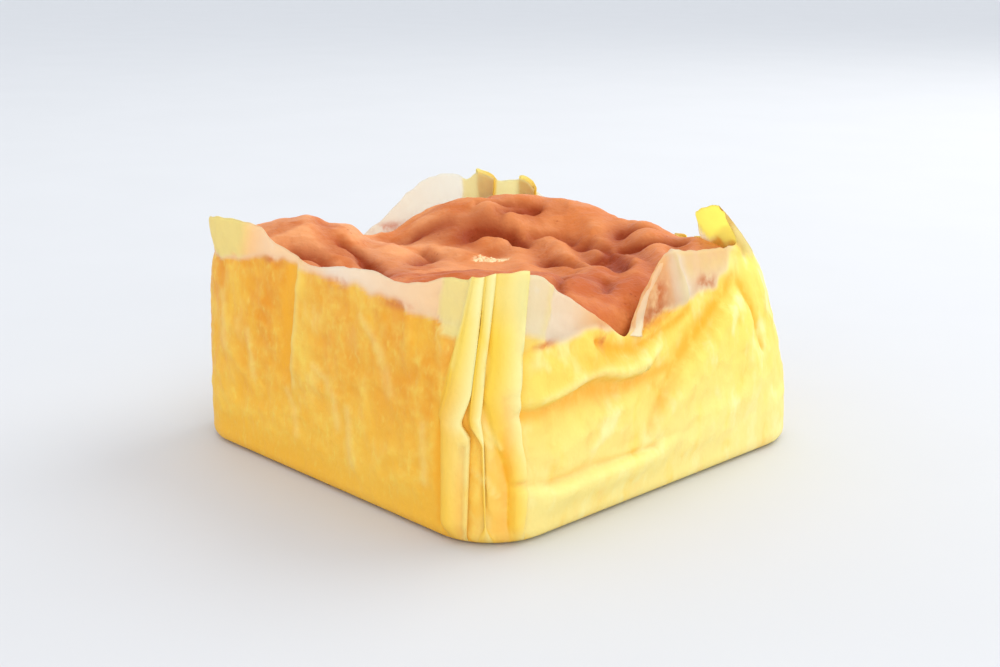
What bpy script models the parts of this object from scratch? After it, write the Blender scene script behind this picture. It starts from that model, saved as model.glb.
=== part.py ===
"""A square castella cake in the folded paper case that it was baked in.

Lengths are in millimetres until add_object turns them into metres. +Z is up, and the origin
is on the table, under the middle of the case. The near corner points to +X -Y. A place round
the case is an arc length, measured counter-clockwise from the middle of that corner.
"""

import math

import bpy
from mathutils import Matrix, Vector, noise

MM = 0.001

# The case: its side, the round of its upright corners and the round of its foot.
SIDE = 85.6
CORNER_RADIUS = 12.3
FOOT_RADIUS = 2.2
PAPER = 0.3
TAPER = 1.6
HEIGHT = 43.0

# The cake inside it.
CLEARANCE = 0.35
CRUST_HEIGHT = 36.0
SHOULDER = 6.0
SUNK_MIDDLE = 3.2

# The back right corner has shrunk and leans in over the cake.
SLUMP = 14.5
SLUMP_CURVE = 2.6

# Pleats: the distance from one layer of paper to the next, and the height at which
# they leave the foot and start to overlap.
LAYER = 0.6
PLEAT_FOOT = 4.0
PLEAT_STEP = 0.42

# How finely the solids are cut.
CAKE_GRID = 32
CAKE_WALL_ROWS = 4
SHOULDER_ROWS = 3
FOOT_ROWS = 3
PAPER_WALL_ROWS = 12
WIDEST_STEP = 4.5

HALF = SIDE / 2
HALF_ARC = math.pi / 4 * CORNER_RADIUS
QUARTER = SIDE - 2 * CORNER_RADIUS + 2 * HALF_ARC
AROUND = 4 * QUARTER

# Corners and middles of the sides, as places round the case.
NEAR_CORNER, RIGHT_CORNER, FAR_CORNER, LEFT_CORNER = (QUARTER * k for k in range(4))
RIGHT_SIDE, BACK_SIDE, LEFT_SIDE, FRONT_SIDE = (QUARTER * (k + 0.5) for k in range(4))

# Each pleat: its corner, where its folded edge stands at the rim and at the foot, and how
# far it laps. A pleat that laps backwards has a negative lap.
PLEATS = (
    (NEAR_CORNER, 1.0, -3.2, 7.2),
    (NEAR_CORNER, 6.2, 5.0, 4.2),
    (RIGHT_CORNER, 11.0, 11.0, 3.5),
    (RIGHT_CORNER, 18.0, 17.5, 4.5),
    (FAR_CORNER, -3.5, -3.5, 4.5),
    (FAR_CORNER, 6.0, 5.0, 4.0),
    (LEFT_CORNER, -13.0, -12.0, 4.0),
    (LEFT_CORNER, -5.5, -4.5, 4.0),
)

# A pleat's stations: how far back from the folded edge, as a share of the lap, how many
# layers out, and the extra puff of the outer layer.
PLEAT_STATIONS = (
    (1.25, 0.0, 0.0),
    (1.0, 2.0, 0.0),
    (0.45, 2.0, 0.6),
    (0.06, 2.0, 0.5),
    (0.0, 1.5, 0.2),
    (0.08, 1.0, 0.0),
    (0.92, 1.0, 0.0),
    (1.0, 0.5, 0.0),
    (0.9, 0.0, 0.0),
)

# The paper's upper edge, as places round the case and heights. It is highest at the
# corners. On the right it drops to a notch, and the flap beyond the notch stands up again.
RIM = (
    (NEAR_CORNER - 6.5, 43.0),
    (NEAR_CORNER - 2.0, 42.5),
    (NEAR_CORNER + 1.0, 43.0),
    (NEAR_CORNER + 5.0, 43.5),
    (NEAR_CORNER + 9.5, 42.5),
    (RIGHT_SIDE - 28.5, 40.6),
    (RIGHT_SIDE - 25.0, 38.7),
    (RIGHT_SIDE - 19.8, 35.5),
    (RIGHT_SIDE - 14.0, 31.3),
    (RIGHT_SIDE - 11.2, 29.5),
    (RIGHT_SIDE - 9.0, 29.5),
    (RIGHT_SIDE - 5.0, 33.6),
    (RIGHT_SIDE + 3.0, 39.3),
    (RIGHT_SIDE + 8.0, 41.0),
    (RIGHT_SIDE + 16.0, 39.8),
    (RIGHT_SIDE + 25.0, 39.0),
    (RIGHT_CORNER - 7.0, 38.7),
    (RIGHT_CORNER - 3.5, 43.2),
    (RIGHT_CORNER + 1.0, 43.9),
    (RIGHT_CORNER + 6.0, 43.4),
    (BACK_SIDE - 25.0, 41.3),
    (BACK_SIDE - 23.0, 37.4),
    (BACK_SIDE - 12.0, 36.0),
    (BACK_SIDE, 34.0),
    (BACK_SIDE + 14.0, 34.5),
    (BACK_SIDE + 24.0, 36.5),
    (FAR_CORNER - 8.0, 39.0),
    (FAR_CORNER - 5.0, 41.0),
    (FAR_CORNER + 1.0, 40.5),
    (FAR_CORNER + 6.0, 43.0),
    (LEFT_SIDE - 32.0, 41.0),
    (LEFT_SIDE - 28.0, 43.0),
    (LEFT_SIDE - 23.0, 43.5),
    (LEFT_SIDE - 17.5, 42.5),
    (LEFT_SIDE - 12.0, 39.5),
    (LEFT_SIDE - 7.0, 35.5),
    (LEFT_SIDE, 32.0),
    (LEFT_SIDE + 12.0, 32.0),
    (LEFT_SIDE + 24.0, 36.0),
    (LEFT_CORNER - 8.0, 39.5),
    (LEFT_CORNER - 2.0, 41.0),
    (LEFT_CORNER + 2.0, 42.2),
    (LEFT_CORNER + 6.0, 43.4),
    (FRONT_SIDE - 21.0, 44.0),
    (FRONT_SIDE - 16.0, 42.5),
    (FRONT_SIDE - 9.0, 40.8),
    (FRONT_SIDE - 5.0, 40.0),
    (FRONT_SIDE - 2.0, 39.2),
    (FRONT_SIDE + 7.0, 40.3),
    (FRONT_SIDE + 16.0, 41.0),
    (FRONT_SIDE + 22.0, 40.2),
    (FRONT_SIDE + 30.0, 41.3),
)

# Creases of the paper: from one place and height to another, how far the crease stands
# out, and how far its slopes reach above and below it.
CREASES = (
    (RIGHT_SIDE - 34, 24.2, RIGHT_SIDE - 1, 26.8, 2.4, 8.0, 3.5),
    (RIGHT_SIDE - 35, 9.0, RIGHT_SIDE + 2, 8.6, 1.5, 4.0, 7.0),
    (RIGHT_SIDE - 4, 12.5, RIGHT_SIDE + 27, 31.0, 2.4, 4.0, 12.0),
    (RIGHT_SIDE + 10, 7.0, RIGHT_SIDE + 30, 18.0, 1.1, 6.0, 5.0),
    (FRONT_SIDE - 5, 40.5, FRONT_SIDE - 8, 12.0, 1.1, 8.0, 3.5),
    (FRONT_SIDE - 24, 38.0, FRONT_SIDE - 28, 8.0, 0.8, 5.0, 9.0),
    (BACK_SIDE - 28, 20.0, BACK_SIDE + 8, 27.0, 1.4, 7.0, 6.0),
    (BACK_SIDE + 2, 9.0, BACK_SIDE + 26, 30.0, 1.3, 6.0, 7.0),
    (LEFT_SIDE - 26, 12.0, LEFT_SIDE + 10, 18.0, 1.1, 6.0, 7.0),
    (LEFT_SIDE + 12, 30.0, LEFT_SIDE + 26, 8.0, 1.2, 6.0, 6.0),
)

# Swells of the crust: x, y, height, long and short reach, and the way the long one points.
SWELLS = (
    (-31.0, -23.0, 6.4, 15.0, 10.0, 60),
    (-26.0, 20.0, 4.8, 14.0, 12.0, 45),
    (0.0, 33.0, 2.4, 34.0, 7.0, 0),
    (20.0, -22.0, 3.0, 22.0, 12.0, 45),
    (-10.0, -31.0, -2.0, 11.0, 4.5, 80),
    (-29.0, -5.0, -2.8, 13.0, 6.5, 10),
    (41.0, -9.0, -3.2, 13.0, 9.0, 90),
    (-9.0, 7.0, -3.0, 5.5, 4.0, 45),
    (7.0, -7.0, -1.2, 7.0, 4.0, 45),
)

# Wrinkles of the crust come in sets: middle x and y, reach, the way they run, the
# distance from one to the next, and their height.
WRINKLES = (
    (15.5, 19.0, 20.0, -38, 10.5, 1.1),
    (-18.0, 10.0, 16.0, 8, 10.0, 0.8),
    (-25.0, -14.0, 12.0, -30, 10.0, 0.6),
)


def smooth(t):
    """0 below 0 and 1 above 1, with a soft step between."""
    t = min(1.0, max(0.0, t))
    return t * t * (3 - 2 * t)


def past(place, start):
    """How far a place is past another, the short way round the case."""
    return (place - start + AROUND / 2) % AROUND - AROUND / 2


def outline(place, out=0.0):
    """Point and outward normal of the case's rounded square, moved outwards by out."""
    corner = round(place / QUARTER)
    along = place - corner * QUARTER
    on_arc = min(HALF_ARC, max(-HALF_ARC, along))
    middle = math.radians(90 * corner - 45)
    turn = middle + on_arc / CORNER_RADIUS
    normal = Vector((math.cos(turn), math.sin(turn)))
    tangent = Vector((-normal.y, normal.x))
    centre = Vector((math.cos(middle), math.sin(middle)))
    centre *= (HALF - CORNER_RADIUS) * math.sqrt(2)
    point = centre + normal * (CORNER_RADIUS + out) + tangent * (along - on_arc)
    return point, normal


def slumped(x, y, z):
    """A point after the block has narrowed upwards and its back right corner has sunk in."""
    narrow = 1 - TAPER / HALF * z / HEIGHT
    lean = max(0.0, (x + y) / SIDE) ** 2 * max(0.0, z / HEIGHT) ** SLUMP_CURVE
    shift = SLUMP * lean / math.sqrt(2)
    return Vector((x * narrow - shift, y * narrow - shift, z))


def swell(x, y, middle_x, middle_y, height, long_reach, short_reach, degrees):
    """A rounded hump, longer one way than the other."""
    turn = math.radians(degrees)
    dx, dy = x - middle_x, y - middle_y
    along = (dx * math.cos(turn) + dy * math.sin(turn)) / long_reach
    across = (dy * math.cos(turn) - dx * math.sin(turn)) / short_reach
    return height * math.exp(-(along**2 + across**2))


def wrinkle(x, y, middle_x, middle_y, reach, degrees, spacing, height):
    """A set of soft ridges side by side, which wander and fade towards its ends."""
    turn = math.radians(degrees)
    wander = noise.noise(Vector((x, y, spacing)) * 0.05)
    across = (y - middle_y) * math.cos(turn) - (x - middle_x) * math.sin(turn)
    away = math.hypot(x - middle_x, y - middle_y) / reach
    ridge = math.cos(2 * math.pi * (across / spacing + 0.5 * wander))
    return height * ridge * math.exp(-(away**4))


def crust(x, y):
    """Height of the crust: sunk in the middle, with swells and wrinkles."""
    away = min(1.0, math.hypot(x, y) / HALF)
    height = CRUST_HEIGHT - SUNK_MIDDLE * (1 - smooth(away * 1.1))
    height += sum(swell(x, y, *one) for one in SWELLS)
    height += sum(wrinkle(x, y, *one) for one in WRINKLES)
    return height + 0.7 * noise.noise(Vector((x, y, 0.0)) * 0.09)


def rim(place):
    """Height of the paper's upper edge, along straight lines between the given heights."""
    before = max(RIM, key=lambda knot: -((place - knot[0]) % AROUND))
    after = max(RIM, key=lambda knot: -((knot[0] - place) % AROUND))
    gap = (after[0] - before[0]) % AROUND or 1.0
    share = (place - before[0]) % AROUND / gap
    return before[1] + (after[1] - before[1]) * share


def crease(place, height, start, low, end, high, stand, above, below):
    """How far the paper stands out near one crease, with straight slopes on both sides."""
    run, rise = past(end, start), high - low
    length = math.hypot(run, rise)
    dx, dz = past(place, start), height - low
    along = (dx * run + dz * rise) / length**2
    across = (dz * run - dx * rise) / length
    slope = 1 - abs(across) / (above if across > 0 else below)
    ends = smooth(3 * min(along, 1 - along) + 0.3)
    return stand * max(0.0, slope) * ends


def crumple(place, height):
    """How far the paper stands off the cake's side."""
    return sum(crease(place, height, *one) for one in CREASES)


def flare(place, height):
    """How far the paper opens outwards at the left and right corners."""
    left = past(place, LEFT_CORNER) / 7
    right = past(place, RIGHT_CORNER) / 9
    return 1.9 * smooth((height - 35) / 8) * math.exp(-(left**2)) + 1.8 * smooth(
        (height - 22) / 14
    ) * math.exp(-(right**2))


def bridge(faces, below, above, count):
    """Joins two rows of the same length, which start at these vertices."""
    for k in range(count):
        after = (k + 1) % count
        faces.append((below + k, below + after, above + after, above + k))


def add_object(name, points, faces, material):
    """A mesh object from points in millimetres."""
    mesh = bpy.data.meshes.new(name)
    mesh.from_pydata([point * MM for point in points], [], faces)
    mesh.materials.append(material)
    mesh.validate()
    mesh.shade_smooth()
    obj = bpy.data.objects.new(name, mesh)
    bpy.context.scene.collection.objects.link(obj)
    return obj


def add_material(name, colour, roughness):
    material = bpy.data.materials.new(name)
    material.use_nodes = True
    shader = material.node_tree.nodes["Principled BSDF"]
    shader.inputs["Base Color"].default_value = (*colour, 1.0)
    shader.inputs["Roughness"].default_value = roughness
    shader.inputs["Metallic"].default_value = 0.0
    return material


def add_cake():
    """The sponge: a flat underside, round foot, upright wall, round shoulder and crust."""
    wall = -PAPER - CLEARANCE
    floor = PAPER + CLEARANCE
    foot = FOOT_RADIUS - PAPER
    count = 4 * CAKE_GRID
    places = [k * AROUND / count for k in range(count)]
    tops = []
    for place in places:
        flat, _ = outline(place, wall - SHOULDER)
        tops.append(crust(flat.x, flat.y))

    points, faces = [], []

    def add_row(inset, heights):
        for place, height in zip(places, heights):
            flat, _ = outline(place, wall - inset)
            points.append(slumped(flat.x, flat.y, height))
        if len(points) > count:
            bridge(faces, len(points) - 2 * count, len(points) - count, count)

    for k in range(FOOT_ROWS + 1):
        turn = math.pi / 2 * k / FOOT_ROWS
        height = floor + foot * (1 - math.cos(turn))
        add_row(foot * (1 - math.sin(turn)), [height] * count)
    faces.append(tuple(reversed(range(count))))
    for k in range(1, CAKE_WALL_ROWS + 1):
        share = k / CAKE_WALL_ROWS
        low = floor + foot
        add_row(0.0, [low + share * (top - SHOULDER - low) for top in tops])
    for k in range(1, SHOULDER_ROWS + 1):
        turn = math.pi / 2 * (1 - k / SHOULDER_ROWS)
        inset = SHOULDER * (1 - math.sin(turn))
        drop = SHOULDER * (1 - math.cos(turn))
        add_row(inset, [top - drop for top in tops])

    # The crust is a square grid whose edge is the last row.
    last = len(points) - count
    index = {}
    for row in range(CAKE_GRID + 1):
        for column in range(CAKE_GRID + 1):
            u, v = 2 * column / CAKE_GRID - 1, 2 * row / CAKE_GRID - 1
            reach = max(abs(u), abs(v))
            place = square_place(u, v)
            if reach == 1:
                index[row, column] = last + round(place / AROUND * count) % count
                continue
            flat, _ = outline(place, wall - SHOULDER)
            flat *= reach
            index[row, column] = len(points)
            points.append(slumped(flat.x, flat.y, crust(flat.x, flat.y)))
    for row in range(CAKE_GRID):
        for column in range(CAKE_GRID):
            faces.append(
                (
                    index[row, column],
                    index[row, column + 1],
                    index[row + 1, column + 1],
                    index[row + 1, column],
                )
            )
    sponge = add_material("browned_sponge", (0.60, 0.24, 0.09), 0.75)
    return add_object("cake", points, faces, sponge)


def square_place(u, v):
    """Place round the case of a point of the square from -1 to 1, seen from its middle."""
    reach = max(abs(u), abs(v)) or 1.0
    if u == reach and v > -reach:
        return QUARTER * (v / reach + 1) / 2
    if v == reach:
        return QUARTER * (1 + (1 - u / reach) / 2)
    if u == -reach:
        return QUARTER * (2 + (1 - v / reach) / 2)
    return QUARTER * (3 + (u / reach + 1) / 2)


def paper_stations():
    """The paper's columns: place at the foot, place at the rim, layers out and puff."""
    stations = []
    for corner, edge, foot, lap in PLEATS:
        count = len(PLEAT_STATIONS)
        for k, (back, layers, puff) in enumerate(PLEAT_STATIONS):
            at_foot = corner + foot + PLEAT_STEP * (k - count / 2)
            stations.append((at_foot, corner + edge - back * lap, layers, puff))
    for place, _ in RIM:
        if not any(in_pleat(place, *one) for one in PLEATS):
            stations.append((place, place, 0.0, 0.0))
    return filled_in(stations)


def in_pleat(place, corner, edge, foot, lap):
    """Whether a place lies in a pleat, at the rim or at the foot."""
    at_rim = -1.25 * lap - 1.5 < past(place, corner + edge) < 1.5
    return at_rim or abs(past(place, corner + foot)) < PLEAT_STEP * 5 + 1.0


def filled_in(stations):
    """The stations in order round the case, with more of them where they stand wide apart."""
    stations.sort(key=lambda one: past(one[0], FRONT_SIDE + 1))
    first = stations[0]
    stations.append((first[0] + AROUND, first[1] + AROUND, *first[2:]))
    filled = []
    for one, other in zip(stations, stations[1:]):
        gap = max(past(other[0], one[0]), past(other[1], one[1]))
        steps = max(1, math.ceil(gap / WIDEST_STEP))
        for k in range(steps):
            share = k / steps
            filled.append(
                (
                    one[0] + past(other[0], one[0]) * share,
                    one[1] + past(other[1], one[1]) * share,
                    one[2] + (other[2] - one[2]) * share,
                    one[3] + (other[3] - one[3]) * share,
                )
            )
    return filled


def add_paper():
    """The case: one sheet with a flat bottom, a round foot and pleated walls."""
    half_paper = PAPER / 2
    stations = paper_stations()
    count = len(stations)
    points, faces = [], []

    def add_row(spots):
        points.extend(spots)
        if len(points) > count:
            bridge(faces, len(points) - 2 * count, len(points) - count, count)

    for k in range(FOOT_ROWS + 1):
        turn = math.pi / 2 * k / FOOT_ROWS
        radius = FOOT_RADIUS - half_paper
        out = -half_paper - radius * (1 - math.sin(turn))
        height = half_paper + radius * (1 - math.cos(turn))
        add_row([paper_point(one, out, height) for one in stations])
    faces.append(tuple(reversed(range(count))))
    for k in range(1, PAPER_WALL_ROWS + 1):
        share = k / PAPER_WALL_ROWS
        row = []
        for one in stations:
            top = rim(one[1]) + 0.4 * one[2]
            height = FOOT_RADIUS + share * (top - FOOT_RADIUS)
            row.append(paper_point(one, -half_paper, height))
        add_row(row)
    greaseproof = add_material("greaseproof_paper", (0.93, 0.62, 0.12), 0.45)
    case = add_object("paper_case", points, faces, greaseproof)
    solidify = case.modifiers.new("paper thickness", "SOLIDIFY")
    solidify.thickness = PAPER * MM
    solidify.offset = 0.0
    return case


def paper_point(station, out, height):
    """Where a station of the sheet lies at a height: pleats open out from the foot up."""
    at_foot, at_rim, layers, puff = station
    lift = LAYER * (layers + puff) * smooth(height / PLEAT_FOOT)
    overlap = max(0.0, (height - PLEAT_FOOT) / (HEIGHT - PLEAT_FOOT))
    place = at_foot + (at_rim - at_foot) * overlap
    stand_off = crumple(place, height) * smooth((height - 1) / 6)
    flat, _ = outline(place, out + lift + stand_off + flare(place, height))
    return slumped(flat.x, flat.y, height)


def centre(case, cake):
    """Moves both so that the middle of the case's bounding box is over the origin."""
    bpy.context.view_layer.update()
    corners = case.evaluated_get(bpy.context.evaluated_depsgraph_get()).bound_box
    middle_x = (corners[0][0] + corners[6][0]) / 2
    middle_y = (corners[0][1] + corners[6][1]) / 2
    for obj in (case, cake):
        obj.data.transform(Matrix.Translation((-middle_x, -middle_y, 0)))


def main():
    for obj in list(bpy.data.objects):
        bpy.data.objects.remove(obj)
    cake = add_cake()
    case = add_paper()
    centre(case, cake)


main()
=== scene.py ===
"""A castella cake in its pleated greaseproof paper case: the fine pieces and the stage.

Lengths in tables and functions are millimetres, and +Z is up. The near corner points to +X -Y.
A place round the case is an arc length, counter-clockwise from the middle of that corner.
"""

import math

import bpy
import numpy as np
from bpy.props import FloatProperty, FloatVectorProperty, IntProperty, PointerProperty
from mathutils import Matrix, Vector, noise


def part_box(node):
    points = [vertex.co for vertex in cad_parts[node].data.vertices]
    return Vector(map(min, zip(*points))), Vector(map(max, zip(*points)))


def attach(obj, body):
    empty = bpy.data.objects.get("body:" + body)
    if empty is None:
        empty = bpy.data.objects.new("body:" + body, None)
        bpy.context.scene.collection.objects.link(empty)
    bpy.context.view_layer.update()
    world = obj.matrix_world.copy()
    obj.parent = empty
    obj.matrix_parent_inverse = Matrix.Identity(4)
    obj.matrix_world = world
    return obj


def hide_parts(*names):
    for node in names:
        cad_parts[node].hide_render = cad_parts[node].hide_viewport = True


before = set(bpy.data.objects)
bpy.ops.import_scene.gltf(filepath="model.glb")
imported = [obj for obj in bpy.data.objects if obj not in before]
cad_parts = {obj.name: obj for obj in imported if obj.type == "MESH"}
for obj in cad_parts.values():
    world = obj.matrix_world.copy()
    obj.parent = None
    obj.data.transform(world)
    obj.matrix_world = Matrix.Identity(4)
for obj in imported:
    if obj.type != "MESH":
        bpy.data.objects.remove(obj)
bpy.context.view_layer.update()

bl_info = {
    "name": "Castella Cake",
    "version": (1, 0, 0),
    "blender": (4, 5, 0),
    "location": "3D View > Sidebar > Castella",
    "description": "Builds a castella cake in a pleated paper case, and a stage for it",
    "category": "Add Mesh",
}

MM = 0.001

# The solids' sizes that the fine pieces share. The cake's box gives the middle.
CAKE_LOW, CAKE_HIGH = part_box("cake")
MIDDLE_X = (CAKE_LOW.x + CAKE_HIGH.x) / 2 / MM
MIDDLE_Y = (CAKE_LOW.y + CAKE_HIGH.y) / 2 / MM
SIDE = 85.6
CORNER_RADIUS = 12.3
FOOT_RADIUS = 2.2
TAPER = 1.6
HEIGHT = 43.0
SLUMP = 14.5
SLUMP_CURVE = 2.6
LAYER = 0.6
PLEAT_FOOT = 4.0
# The middle of the paper's thickness lies this far out of the case's outline.
PAPER_MIDDLE = -0.15

HALF = SIDE / 2
HALF_ARC = math.pi / 4 * CORNER_RADIUS
QUARTER = SIDE - 2 * CORNER_RADIUS + 2 * HALF_ARC
AROUND = 4 * QUARTER

NEAR_CORNER, RIGHT_CORNER, FAR_CORNER, LEFT_CORNER = (QUARTER * k for k in range(4))
RIGHT_SIDE, BACK_SIDE, LEFT_SIDE, FRONT_SIDE = (QUARTER * (k + 0.5) for k in range(4))

# Each pleat: its corner, where its folded edge runs and how far it laps, both as heights
# and millimetres round the case, and how far its ridge puffs out, in layers.
PLEATS = (
    (
        NEAR_CORNER,
        (
            (0, -4.8), (3.5, -3.4), (18, -2.9), (20.2, -4.4), (24.5, -2.8), (30, -2.1), (36.5, -1.4),
            (43, -0.7),
        ),
        ((0, 4.6), (18, 5.1), (20.2, 3.9), (24.5, 4.2), (30, 3.6), (36.5, 2.5), (43, 1.9)), 0.7,
    ),
    (
        NEAR_CORNER, ((0, -0.5), (18, -0.9), (21, -1.3), (24, -1), (30, -0.5), (36, 0.2), (43, 1)),
        ((0, 0.1), (17, 0.2), (20, 1.6), (24, 1.7), (36, 1.4), (43, 1.7)), 0.3,
    ),
    (
        NEAR_CORNER,
        (
            (0, 5), (10, 5.7), (14, 5.5), (17, 4.9), (25.2, 4.4), (26.4, 4.7), (32, 5), (36.5, 5.4),
            (43, 6.2),
        ),
        ((0, 2), (10, 2.6), (17, 3.6), (24, 4.8), (30, 4.3), (36, 4.7), (43, 5.1)), 0.7,
    ),
    (RIGHT_CORNER, ((0, 19), (43, 20.5)), ((0, 1), (43, 3)), 0.5),
    (RIGHT_CORNER, ((0, 25), (43, 27)), ((0, 1), (43, 4.5)), 0.6),
    (FAR_CORNER, ((0, -3.5), (43, -3.5)), ((0, 1), (43, 4.5)), 0.6),
    (FAR_CORNER, ((0, 5), (43, 6)), ((0, 1), (43, 4)), 0.6),
    (LEFT_CORNER, ((0, -12), (43, -13)), ((0, 1), (43, 4)), 0.6),
    (LEFT_CORNER, ((0, -4.5), (43, -5.5)), ((0, 1), (43, 4)), 0.5),
)

# A pleat's profile: how far back from the folded edge, as a share of the lap, how many
# layers out, the share of the ridge's puff, and how many steps lead to the next one.
PLEAT_PROFILE = (
    (1.2, 0, 0, 3), (1, 1.7, 0, 4), (0.72, 2, 1, 5), (0.08, 2, 0.3, 1),
    (0.02, 1.85, 0.2, 1), (0, 1.5, 0.1, 1), (0.02, 1.15, 0, 1), (0.1, 1, 0, 3),
    (0.94, 1, 0, 1), (1, 0.5, 0, 1), (0.94, 0, 0, 1),
)


def from_places(*groups):
    """Knots round the case from groups: a corner or side, then knots measured from it."""
    return tuple((start + knot[0], *knot[1:]) for start, *knots in groups for knot in knots)


def paths_from(*groups):
    """Paths round the case from groups: a corner or side, then paths measured from it."""
    return tuple(from_places((start, *path)) for start, *paths in groups for path in paths)


def creases_from(*groups):
    """Creases from groups: a corner or side, then each crease's path and its three sizes."""
    return tuple(
        (from_places((start, *path)), *sizes) for start, *ones in groups for path, *sizes in ones
    )


# The paper's upper edge, as places round the case and heights.
RIM = from_places(
    (NEAR_CORNER, (-6.5, 43), (-2, 42.5), (1, 43), (5, 43.5), (9.5, 42.5)),
    (
        RIGHT_SIDE, (-29, 41), (-27.8, 39.9), (-25, 38.7), (-19.8, 35.5), (-16.5, 33.6), (-14, 31.9),
        (-11.2, 29.5), (-9.8, 29.5), (-7.5, 32.2), (-5, 34.8), (-1, 37.8), (3, 40.2), (6, 41.1),
        (8.5, 41.1), (15, 39.9), (25, 39),
    ),
    (RIGHT_CORNER, (-7, 38.6), (-4.5, 41), (-3, 43.4), (0, 44), (6, 43.4)),
    (
        BACK_SIDE, (-30, 42.5), (-25, 41.3), (-24, 40.3), (-23, 35), (-12, 34.5), (0, 34), (14, 34.5),
        (24, 36.5),
    ),
    (FAR_CORNER, (-8, 39), (-5, 41), (1, 40.5), (6, 43)),
    (
        LEFT_SIDE, (-32, 41), (-28, 43), (-23, 43.5), (-17.5, 42.5), (-12, 39.5), (-7, 35.5), (0, 32),
        (12, 32), (24, 36),
    ),
    (LEFT_CORNER, (-8, 39.5), (-2, 41), (2, 42.2), (6, 43.4)),
    (
        FRONT_SIDE, (-29, 43.9), (-21, 44), (-17.5, 43.3), (-15, 42), (-12.5, 41.3), (-9, 40.7),
        (-5.6, 40.1), (-4.6, 39.6), (-1.5, 39.1), (1, 39.2), (7, 40.3), (16, 41), (22, 40), (29, 41.2),
    ),
)

# How high the paper clings to the sponge; above this it stands free.
CLING = from_places(
    (NEAR_CORNER, (-6.5, 35), (5, 34)),
    (
        RIGHT_SIDE, (-30, 31.3), (-27, 30.7), (-20, 32), (-16.5, 31.4), (-15, 30.6), (-9.5, 29.6),
        (-5, 30.6), (3.5, 31.2), (8, 31.6), (20, 32.4), (25, 35),
    ),
    (RIGHT_CORNER, (-6, 40), (4, 40)), (BACK_SIDE, (-25, 34.5), (-10, 32.5), (5, 31.5), (25, 33.5)),
    (FAR_CORNER, (0, 34.5)),
    (LEFT_SIDE, (-30, 33.5), (-20, 33), (-10, 31.5), (0, 30.5), (12, 30.5), (24, 34)),
    (LEFT_CORNER, (0, 36)),
    (
        FRONT_SIDE, (-28, 35.8), (-22, 37), (-15, 38), (-10, 38.5), (-4, 37.7), (0, 37.1), (12.5, 36.8),
        (20, 36.2), (25.5, 35.3), (31.5, 35.1),
    ),
)

# How well the fat has soaked the paper, from 0 to 1.
SOAKED = from_places(
    (NEAR_CORNER, (-10, 1), (-3, 0.85), (5, 0.55)),
    (RIGHT_SIDE, (-34, 0.4), (-28, 0.42), (-14, 0.42), (-2, 0.3), (26, 0.16)),
    (RIGHT_CORNER, (0, 0.15)), (BACK_SIDE, (-25, 0.45), (0, 0.6)), (FAR_CORNER, (0, 0.35)),
    (LEFT_SIDE, (0, 0.85)), (LEFT_CORNER, (0, 0.9)),
    (FRONT_SIDE, (-30, 1), (-6, 1), (12, 0.9), (22, 0.95)),
)

# How far fat has warmed the free paper's colour, from 0 to 1.
WARM = from_places(
    (NEAR_CORNER, (-9, 0.6), (6, 0.2)),
    (RIGHT_SIDE, (-24, 0.35), (-18, 0.8), (-10, 0.9), (4, 0.7), (8.5, 0.1), (12, 0.45), (26, 0.55)),
    (RIGHT_CORNER, (0, 0.3)), (BACK_SIDE, (0, 0.1)), (FAR_CORNER, (0, 0)), (LEFT_SIDE, (0, 0.3)),
    (LEFT_CORNER, (0, 0.8)), (FRONT_SIDE, (-24, 0.9), (-16, 0.5), (-4, 0.6), (4, 0.1), (14, 0.3)),
)

# How see-through the free paper is, from 0 to 1.
CLEAR = from_places(
    (NEAR_CORNER, (-9, 0.35), (6, 0.2)),
    (RIGHT_SIDE, (-23, 0.3), (-18, 0.5), (-10, 0.35), (5, 0.5), (9, 0.25), (12, 0.3), (24, 0.25)),
    (RIGHT_CORNER, (0, 0.3)), (BACK_SIDE, (0, 0.6)), (FAR_CORNER, (0, 0.75)), (LEFT_SIDE, (0, 0.6)),
    (LEFT_CORNER, (0, 0.3)), (FRONT_SIDE, (-10, 0.45), (20, 0.5)),
)

# Where the crust's browned edge shows through the paper: place, height, reach each way.
BROWNINGS = from_places(
    (FRONT_SIDE, (5.5, 37.2, 2.2, 1.1), (21, 36.4, 3.4, 0.8), (-14, 38.2, 3, 0.6)),
    (
        RIGHT_SIDE, (-30.8, 31.8, 2.4, 0.6), (-16.4, 30.4, 1.3, 1.8), (0, 35, 3.4, 2.6),
        (-1, 32, 4.2, 1.8), (-4.5, 30.8, 3.6, 1.9), (16.5, 34.2, 3, 1.3),
    ),
    (BACK_SIDE, (-8, 32.8, 5, 0.9), (16, 33, 4, 1)), (LEFT_SIDE, (-8, 33.6, 4, 0.9), (10, 31, 5, 0.9)),
)

# Where fat has spread in paper that stands off the sponge: place, height, reach each way.
STAINS = from_places((RIGHT_SIDE, (-19, 27, 10, 4)))

# Where the paper is doubled over into a tab: its two edges as heights and places, the height
# of its foot, how much of the doubled paper's colour it shows, and how soft its edges are.
TABS = (
    (((37, LEFT_CORNER - 3),), ((37, FRONT_SIDE - 23.5), (44, FRONT_SIDE - 21.5)), 36.9, 0.85, 5),
    (((36, RIGHT_CORNER - 7),), ((36, BACK_SIDE - 23.6),), 35.5, 1, 0.8),
    (((36, FAR_CORNER - 9),), ((36, LEFT_SIDE - 30),), 35.5, 0.5, 1.6),
    (
        ((33, NEAR_CORNER - 7.6), (37, NEAR_CORNER - 8.6), (43, NEAR_CORNER - 7.3)),
        ((28, NEAR_CORNER - 6), (36.5, NEAR_CORNER - 3.9), (43, NEAR_CORNER - 2.6)), 33, 0.75, 0.8,
    ),
    (
        ((30, NEAR_CORNER + 4),),
        ((31, NEAR_CORNER + 8), (37, NEAR_CORNER + 10.5), (43, NEAR_CORNER + 11.7)), 31.5, 0.2, 0.9,
    ),
)
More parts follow.
